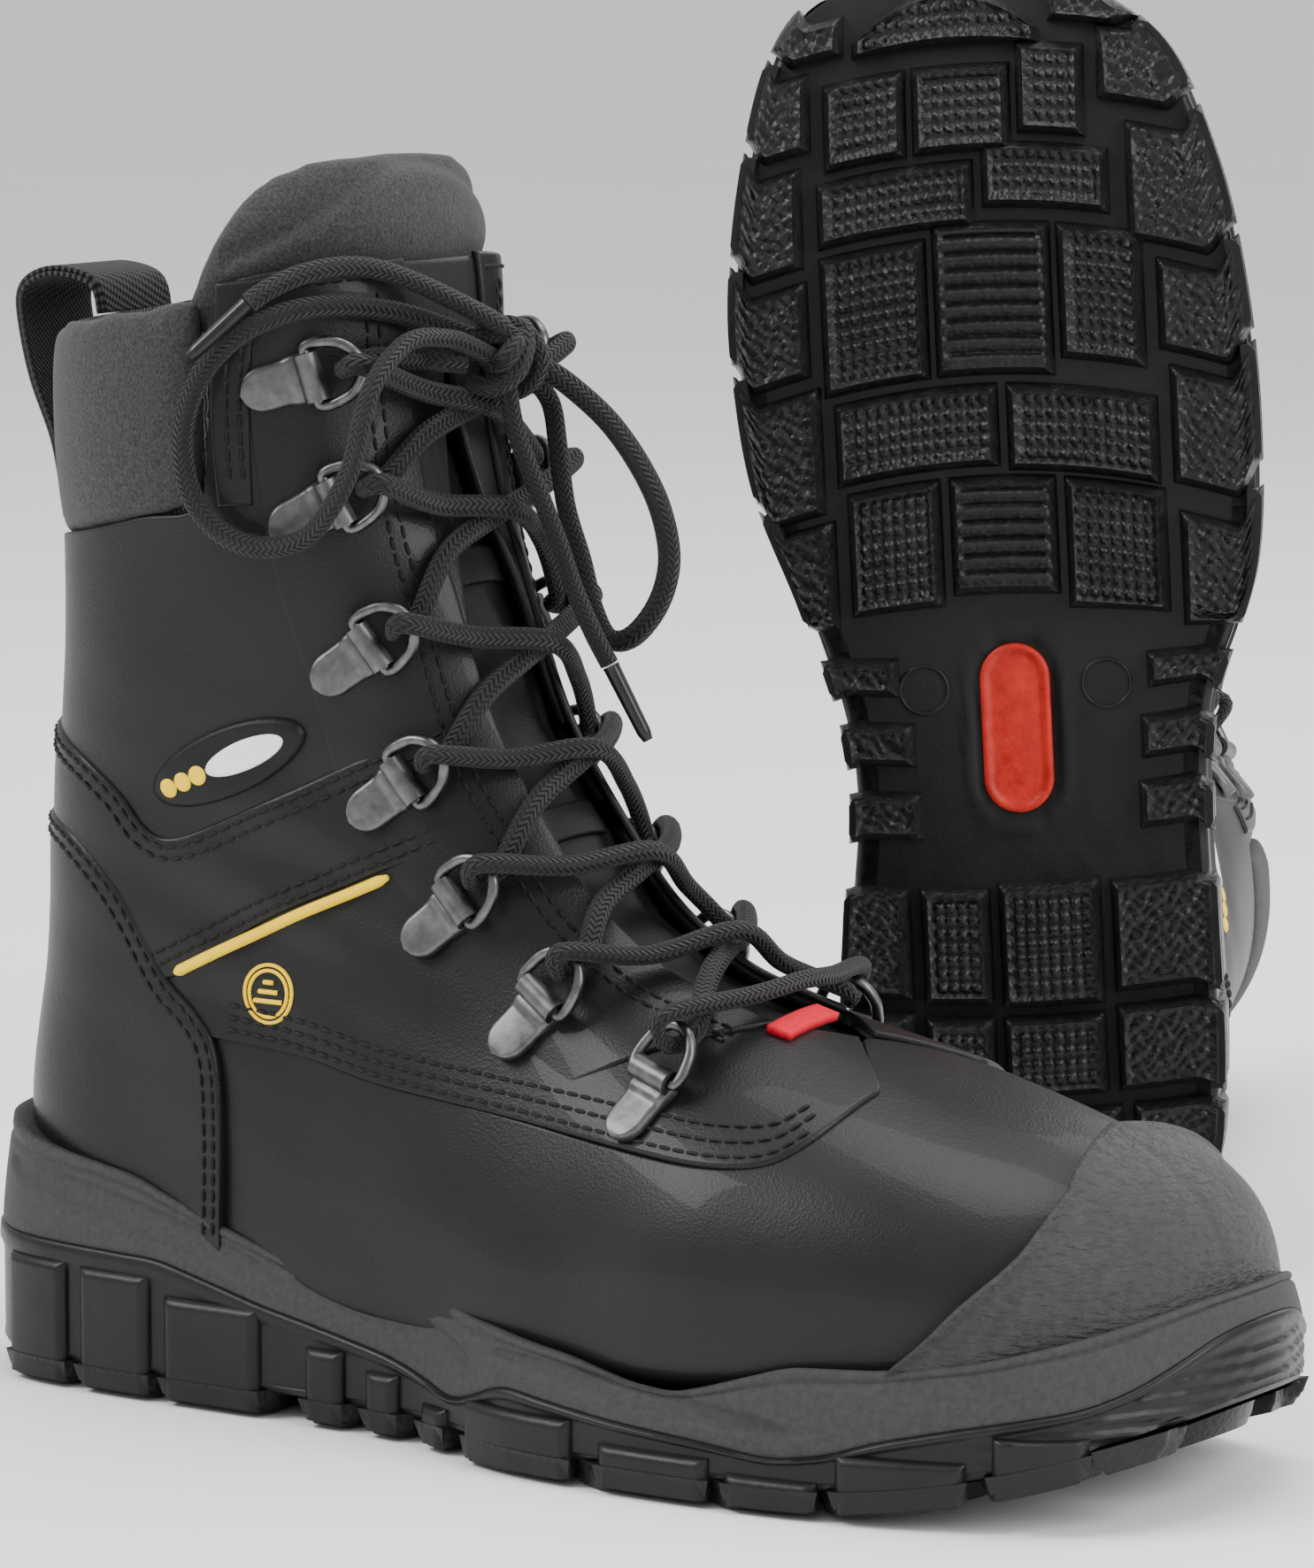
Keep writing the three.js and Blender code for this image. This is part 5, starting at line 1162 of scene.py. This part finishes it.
def lace_tip(boot, name, points, nodes):
    path = spline([points[0], np.mean(points, axis=0).tolist(), points[1]], 24)
    taper = np.interp(np.linspace(0, 1, 24), [0, 0.04, 0.9, 1], [1.06, 1, 0.86, 0.6])
    mesh = tube(Mesh(), path, 1.75, sides=16, taper=taper)
    return finish_piece(boot, f"{boot.word}_{name}", mesh, TIP, nodes, sharp=50)


def knot(boot, nodes):
    """The turns of the bow around its middle."""
    mesh = Mesh()
    middle = np.array(KNOT, float)
    wraps = [
        [(-5, -9, 2), (-1, -7, 6), (4, -3, 5), (5.5, 2, 1), (3, 6, -4), (-2, 8, -5), (-6, 8, -1)],
        [(-6, 5, 3), (-2, 4, 6.5), (3, 1, 6.5), (6, -3, 3), (5.5, -6, -2), (1, -8, -5), (-4, -8, -4)],
        [(-3, 0, -6), (2, 0.5, -5.5), (6, 1, -2), (6.8, 0.5, 2), (4, 0, 6), (-1, 0, 7.4), (-5, 0, 5)],
        [(-4, -3, 1), (0, -6, 0), (4, -8, 1), (5, -5, 4), (2, 0, 4), (-1, 5, 3), (-3, 8, 2)],
    ]
    for wrap in wraps:
        tube(mesh, spline(middle + np.array(wrap), 40), LACE_WIDTH / 2, sides=14, flat=0.85)
    return finish_piece(boot, f"{boot.word}_knot", mesh, BRAID, nodes)


def drawn_in(points, shrink):
    """The points moved towards the knot, for a smaller bow."""
    middle = np.array(KNOT)
    return (middle + (np.array(points) - middle) * shrink).tolist()


def laces(boot, nodes):
    route = lace_strand(-1)[::-1] + [LACE_START] + lace_strand(1)
    bow_knot = knot(boot, nodes("lace_knot"))
    lace_piece(boot, "lace", route, nodes("lace"))
    shrink = 1 if boot is RIGHT else 0.6
    outer_loop = drawn_in([[125, -1, 223], *OUTER_LOOP, [125, -3, 222]], shrink)
    inner_loop = drawn_in([[127, 5, 220], *INNER_LOOP, [127, 7, 218]], shrink)
    lace_piece(boot, "loop_outer", outer_loop, nodes("lace_loop_outer"))
    lace_piece(boot, "loop_inner", inner_loop, nodes("lace_loop_inner"))
    ends = (("outer", [126, 0, 224], OUTER_TAIL, OUTER_TIP), ("inner", [126, 1, 219], INNER_TAIL, INNER_TIP))
    for word, root, tail, end in ends:
        tip = lace_tip(boot, f"tip_{word}", drawn_in(end, shrink), nodes(f"lace_tip_{word}"))
        tail = drawn_in([root, *tail], shrink)
        lace_piece(boot, f"tail_{word}", tail, nodes(f"lace_tail_{word}"))


# ---------- padded pieces, swollen as cloth ----------
CLOTH_FRAMES, CLOTH_VOXEL = 20, 2.6
COLLAR_CAP, TONGUE_CAP = 1.8, 3.2  # how far the cloth may move, in millimetres


def swell(mesh, cap):
    """The mesh remeshed and blown up as cloth, with no point moved further than cap, in millimetres."""
    data = bpy.data.meshes.new("pad")
    data.from_pydata(np.concatenate(mesh.points).tolist(), [], np.concatenate(mesh.faces).tolist())
    data.transform(Matrix.Scale(MM, 4))
    pad = bpy.data.objects.new("pad", data)
    scene = bpy.context.scene
    scene.collection.objects.link(pad)
    remesh = pad.modifiers.new("remesh", "REMESH")
    remesh.mode, remesh.voxel_size, remesh.use_smooth_shade = "VOXEL", CLOTH_VOXEL * MM, True
    bpy.context.view_layer.update()
    ready = bpy.data.meshes.new_from_object(pad.evaluated_get(bpy.context.evaluated_depsgraph_get()))
    pad.modifiers.clear()
    pad.data = ready
    start = np.empty(len(ready.vertices) * 3)
    ready.vertices.foreach_get("co", start)
    start = start.reshape(-1, 3)
    result = start
    cloth = pad.modifiers.new("cloth", "CLOTH")
    cloth.settings.use_pressure, cloth.settings.uniform_pressure_force = True, 4.0
    cloth.settings.effector_weights.gravity = 0
    cloth.settings.quality = 5
    cloth.settings.tension_stiffness = cloth.settings.compression_stiffness = 25
    cloth.point_cache.frame_start, cloth.point_cache.frame_end = 1, CLOTH_FRAMES
    for step in range(1, CLOTH_FRAMES + 1):
        scene.frame_set(step)
    blown = pad.evaluated_get(bpy.context.evaluated_depsgraph_get())
    result = np.empty(len(blown.data.vertices) * 3)
    blown.data.vertices.foreach_get("co", result)
    result = result.reshape(-1, 3)
    scene.frame_set(1)
    move = result - start
    size = np.linalg.norm(move, axis=1, keepdims=True)
    move *= np.minimum(1, cap * MM / np.maximum(size, 1e-9))
    ready.vertices.foreach_set("co", (start + move).ravel())
    pad.modifiers.clear()
    pad.modifiers.new("smooth", "CORRECTIVE_SMOOTH").factor = 0.5
    pad.modifiers["smooth"].iterations = 3
    pad.modifiers["smooth"].use_only_smooth = True
    pad.modifiers.new("fine", "SUBSURF").levels = 1
    bpy.context.view_layer.update()
    final = bpy.data.meshes.new_from_object(pad.evaluated_get(bpy.context.evaluated_depsgraph_get()))
    points = np.empty(len(final.vertices) * 3)
    final.vertices.foreach_get("co", points)
    faces = [tuple(p.vertices) for p in final.polygons]
    bpy.data.objects.remove(pad)
    quads = [f if len(f) == 4 else (*f, f[-1]) for f in faces]
    return Mesh().add(points.reshape(-1, 3) / MM, quads)


def collar_form():
    low = both_sides([[24, 180], [46, 183.5], [64, 187.5], [79, 191.5]], back=177)
    high = both_sides([[24, 226.5], [45, 230], [70, 234], [81, 236.5]], back=225.5)
    count = 110
    a, b = resample(low, count), resample(high, count)
    v = np.linspace(0, 1, 26)
    places = a[:, None] * (1 - v[None, :, None]) + b[:, None] * v[None, :, None]
    t, way = places[..., 0], places[..., 1]
    u = np.linspace(0, 1, count)[:, None]
    crown = np.sin(math.pi * np.clip(v, 0, 1)) ** 0.4 * np.clip(np.sin(math.pi * u) * 9, 0, 1) ** 0.5
    return Mesh().add_slab(skin(t, way, -1.2 + 2.9 * crown, False), skin(t, way, -5.0 - 1.2 * crown, False))


def tongue_pad_form():
    rows, columns = 30, 90
    u, v = np.linspace(0, 1, rows)[:, None], np.linspace(-1, 1, columns)[None]
    arc = (66 * v - 4) * (1 - 0.12 * u)
    high = 20.0 - 0.95 * np.abs(v) ** 3.2
    t = 18.7 + (high - 18.7) * u
    edge = np.sqrt(np.clip(np.minimum(u * 4, (1 - u) * 3.2), 0, 1))
    edge = edge * np.sqrt(np.clip((1 - np.abs(v)) * 9, 0, 1))
    way = arc / np.where(arc < 0, girth(t, -1), girth(t, 1))
    top = skin(t, way, -4.6 + 4.2 * edge * smooth_step(0.15, 0.5, u), False)
    low = skin(t, way, -8.0 - 3.5 * edge, False)
    rise = (3.0 * u ** 2 * (1 - np.abs(v) ** 2.5))[..., None] * np.array([0, 0, 1.0])
    return Mesh().add_slab(top + rise, low + rise)


def channel(mesh, sit, depth):
    """Presses a sewn channel into a pad: sit(points) is the distance from the seam in millimetres."""
    points = mesh.points[0]
    away = sit(points)
    middle = points.mean(axis=0)
    pull = depth * np.exp(-((away / 2.2) ** 2))
    inward = middle - points
    inward[:, 2] = 0
    inward /= np.maximum(np.linalg.norm(inward, axis=1, keepdims=True), 1e-6)
    mesh.points[0] = points + inward * pull[:, None]
    return mesh


def tongue_seam(points):
    """Height over the arced seam across the front of the pad."""
    arched = 263 - 0.0105 * points[:, 1] ** 2
    return np.where(points[:, 0] > 84, points[:, 2] - arched, 99)


COLLAR_FORM = swell(collar_form(), COLLAR_CAP)
TONGUE_FORM = channel(swell(tongue_pad_form(), TONGUE_CAP), tongue_seam, 2.4)


def padding(boot, nodes):
    for name, form, old in (("collar", COLLAR_FORM, "collar_pad"), ("tongue_top", TONGUE_FORM, "tongue_pad")):
        mesh = Mesh().add(form.points[0], form.faces[0])
        piece = finish_piece(boot, f"{boot.word}_{name}", mesh, TEXTILE, nodes(old))


# ---------- tongue, lining and inside ----------
TONGUE_SKIN = -4.5


def tongue(boot, nodes):
    t = np.linspace(THROAT_SECTION - 0.35, 19.1, 110)[:, None]
    v = np.linspace(-1, 1, 41)[None]
    arc = 24 * v + 0 * t
    fold = 1.4 * np.exp(-((np.abs(arc) - 15) / 2.2) ** 2)
    fold = fold + 0.35 * np.sin(t * 7 + 2 * v) * (np.abs(v) < 0.8)
    top = skin_at(t, arc, TONGUE_SKIN + fold)
    low = skin_at(t, arc, TONGUE_SKIN - 2.2 + fold * 0.5)
    mesh = Mesh().add_slab(top, low)
    finish_piece(boot, f"{boot.word}_tongue", mesh, LEATHER_TRIM, nodes("tongue"))
    # Cross tabs of the tongue, and the woven label.
    tabs = Mesh()
    for middle in (13.6, 16.2):
        t = np.linspace(middle - 0.2, middle + 0.2, 12)[:, None]
        arc = np.linspace(-11, 11, 24)[None] + 0 * t
        top, low = skin_at(t, arc, TONGUE_SKIN + 1.5), skin_at(t, arc, TONGUE_SKIN - 0.5)
        tabs.add_slab(top, low)
    finish_piece(boot, f"{boot.word}_tongue_tabs", tabs, LEATHER_TRIM)
    t = np.linspace(18.35, 18.98, 20)[:, None]
    arc = np.linspace(-13, 13, 40)[None] + 0 * t
    top, low = skin_at(t, arc, TONGUE_SKIN + 2.0), skin_at(t, arc, TONGUE_SKIN + 0.9)
    label = Mesh().add_slab(top, low, uvs=np.stack(np.broadcast_arrays(arc, t * 20), axis=-1))
    finish_piece(boot, f"{boot.word}_tongue_label", label, WEBBING, nodes("tongue_label"))


def lining(boot, nodes):
    """The pile stocking inside, with its edge just over the leather's, and the footbed."""
    t = np.linspace(0.6, 19.35, 150)[:, None]
    way = np.linspace(0, 1, 140)[None]
    # From the outer throat edge round the back to the inner one.
    open_arc = 26 * smooth_step(9.0, 10.2, t)
    start = -open_arc / girth(t, -1)
    end = -2 + open_arc / girth(t, 1)
    w = start * (1 - way) + end * way
    shape = skin(t, w, -4.6, False)
    x = shape[..., 0]
    top_line = np.interp(x, [20, 45, 70, 84, 112], [227, 231, 235, 238, 242]) - 1.5
    shape[..., 2] = np.minimum(shape[..., 2], top_line)
    inner = skin(t, w, -7.2, False)
    inner[..., 2] = np.minimum(inner[..., 2], top_line)
    mesh = Mesh().add_slab(shape, inner)
    finish_piece(boot, f"{boot.word}_lining", mesh, PILE, nodes("lining"))
    x = np.linspace(16, 284, 120)[:, None]
    v = np.linspace(-1, 1, 40)[None]
    near, far = outline_y(x[:, 0], -1)[:, None] + 12, outline_y(x[:, 0], 1)[:, None] - 12
    y = near * (0.5 - v / 2) + far * (0.5 + v / 2)
    z = 29 + 2.5 * np.abs(v) ** 3 + 0.02 * np.maximum(x - 225, 0)
    bed = np.stack([x + 0 * y, y, z + 0 * y], axis=-1)
    low = bed - np.array([0, 0, 3.0])
    mesh = Mesh().add_slab(bed, low, flip=True)
    finish_piece(boot, f"{boot.word}_footbed", mesh, TEXTILE, nodes("footbed"))


# ---------- trims ----------
LOOP_OPEN, LOOP_PRESSED = 7, 14
WEBBING_THICK, WEBBING_HALF = 2.2, 12


def pull_loop(boot, nodes):
    reach = LOOP_OPEN if boot is RIGHT else LOOP_PRESSED
    line = spline([[19.05, 184], [15.9, 200], [(reach + 15) / 2 - 1, 214], [reach, 226], [reach, 232],
                   [reach + 4, 235], [(reach + 27) / 2, 235.8], [25, 233.8], [27, 228]], 110)
    way = unit(np.gradient(line, axis=0))
    across = np.stack([-way[:, 1], way[:, 0]], axis=1)
    v = np.linspace(-1, 1, 25)
    mesh = Mesh()
    length = travelled(line)
    for low, high in ((0.05, 1.05), (1.2, WEBBING_THICK)):
        faces = []
        for thick in (high, low):
            spot = line + across * thick
            y = v * WEBBING_HALF * (1 if low < 1 else 0.97)
            faces.append(np.stack([spot[:, :1] + 0 * y, y + 0 * spot[:, :1], spot[:, 1:] + 0 * y], axis=-1))
        uv = np.stack(np.broadcast_arrays((v * 0.5 + 0.5)[None], length[:, None]), axis=-1)
        mesh.add_slab(*faces, flip=True, uvs=uv)
    finish_piece(boot, f"{boot.word}_pull_loop", mesh, WEBBING, nodes("pull_loop"))


def disc_on_skin(x, z, half_x, half_z, tilt, side, base, height, rings=10, around=72, edge=0.6):
    """A domed oval on the skin, seen from the side."""
    t0, q0 = on_side(x, z, side)
    points = []
    angle = np.linspace(0, TAU, around, endpoint=False)
    long, wide = half_x * np.cos(angle), half_z * np.sin(angle)
    seen_x = x + long * math.cos(tilt) - wide * math.sin(tilt)
    seen_z = z + long * math.sin(tilt) + wide * math.cos(tilt)
    spots = np.array([on_side(a, b, side) for a, b in zip(seen_x, seen_z)])
    for r in np.linspace(1, 0.02, rings):
        t, q = t0 + (spots[:, 0] - t0) * r, q0 + (spots[:, 1] - q0) * r
        top = base + height - rounded(np.array((1 - r) * min(half_x, half_z)), edge)
        points.append(skin(t, q, np.full(around, float(top))))
    skirt = skin(spots[:, 0], spots[:, 1], np.full(around, base - 0.6))
    return Mesh().add(np.array([skirt, *points]), grid_faces(rings + 1, around, close_v=True)[:, ::-side])


BADGE = (80, 137.5, 19, 7, 0.42)


def trims(boot, nodes):
    x, z, half_x, half_z, tilt = BADGE
    badge = disc_on_skin(x, z, half_x, half_z, tilt, -1, 1.0, 1.1)
    finish_piece(boot, f"{boot.word}_badge", badge, BADGE_RUBBER, nodes("badge"))
    along = lambda d: (x + d * math.cos(tilt), z + d * math.sin(tilt))
    field = disc_on_skin(*along(5), 9.4, 3.1, tilt, -1, 2.1, 0.3, edge=0.2)
    finish_piece(boot, f"{boot.word}_badge_field", field, WHITE)
    dots = Mesh()
    for d in (-14.5, -10.6, -6.7):
        one = disc_on_skin(*along(d), 1.95, 2.1, tilt, -1, 2.1, 0.35, rings=5, around=28, edge=0.25)
        dots.add(one.points[0], one.faces[0])
    finish_piece(boot, f"{boot.word}_badge_dots", dots, YELLOW)
    # A plain yellow roundel: a ring and three bars.
    roundel = Mesh()
    angle = np.linspace(0, TAU, 61)
    for radius in (6.1, 4.9):
        spots = np.array([on_side(90 + radius * math.cos(a), 89 + radius * math.sin(a), -1) for a in angle])
        path = skin(spots[:, 0], spots[:, 1], np.full(61, 1.0))
        tube(roundel, path, 0.42, sides=6, ends=False)
    for half, rise in ((3.6, -1.6), (2.4, 0.4), (1.2, 2.4)):
        spots = np.array([on_side(90 + s * half, 89 + rise, -1) for s in np.linspace(-1, 1, 9)])
        tube(roundel, skin(spots[:, 0], spots[:, 1], np.full(9, 1.0)), 0.5, sides=6)
    finish_piece(boot, f"{boot.word}_roundel", roundel, YELLOW)
    for side, word in ((-1, "outer"), (1, "inner")):
        line = rail([[66, 91.6], [89, 102.6], [117, 115.2]], side, count=80)
        path = skin(line[:, 0], line[:, 1], np.full(80, 1.6))
        taper = np.interp(np.linspace(0, 1, 80), [0, 0.02, 0.96, 1], [0.5, 1, 1, 0.5])
        mesh = tube(Mesh(), path, 1.25, sides=12, taper=taper)
        finish_piece(boot, f"{boot.word}_piping_{word}", mesh, YELLOW, nodes(f"piping_{word}"))
    t = np.linspace(9.26, 9.62, 14)[:, None]
    arc = np.linspace(-17, 0, 30)[None] + 0 * t
    mesh = Mesh().add_slab(skin_at(t, arc, 2.6), skin_at(t, arc, 0.8))
    finish_piece(boot, f"{boot.word}_side_tab", mesh, RED_TAB, nodes("side_tab"))


# ---------- the pair ----------
LEFT_NODES = {
    "vamp": "left_upper", "collar_pad": "left_collar_pad", "footbed": "left_footbed",
    "midsole": "left_midsole", "outsole": "left_outsole", "sole_inlay": "left_sole_inlay",
    "tongue": "left_tongue", "pull_loop": "left_pull_loop",
}
HIDDEN_INSIDE = {"toe_cap": CAP, "heel_stiffener": BOARD, "insole_board": BOARD}


def right_nodes(*names):
    return list(names)


def left_nodes(*names):
    return [LEFT_NODES[name] for name in names if name in LEFT_NODES]


def make_boot(boot, nodes):
    laces(boot, nodes)
    upper(boot, nodes)
    toe_guard(boot, nodes)
    midsole(boot, nodes)
    cup(boot, nodes)
    tread(boot)
    sole_details(boot, nodes)
    hardware(boot)
    padding(boot, nodes)
    tongue(boot, nodes)
    lining(boot, nodes)
    pull_loop(boot, nodes)
    trims(boot, nodes)


def make_floor():
    half = 30
    data = bpy.data.meshes.new("floor")
    corners = [(-half, -half, 0), (half, -half, 0), (half, half, 0), (-half, half, 0)]
    data.from_pydata(corners, [], [(0, 1, 2, 3)])
    data.materials.append(FLOOR)
    floor = bpy.data.objects.new("floor", data)
    bpy.context.scene.collection.objects.link(floor)
    floor.location.z = -0.0005


make_camera()
make_boot(RIGHT, right_nodes)
make_boot(LEFT, left_nodes)
for name, material in HIDDEN_INSIDE.items():
    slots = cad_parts[name].material_slots
    slots[0].material = material
make_floor()
make_light()
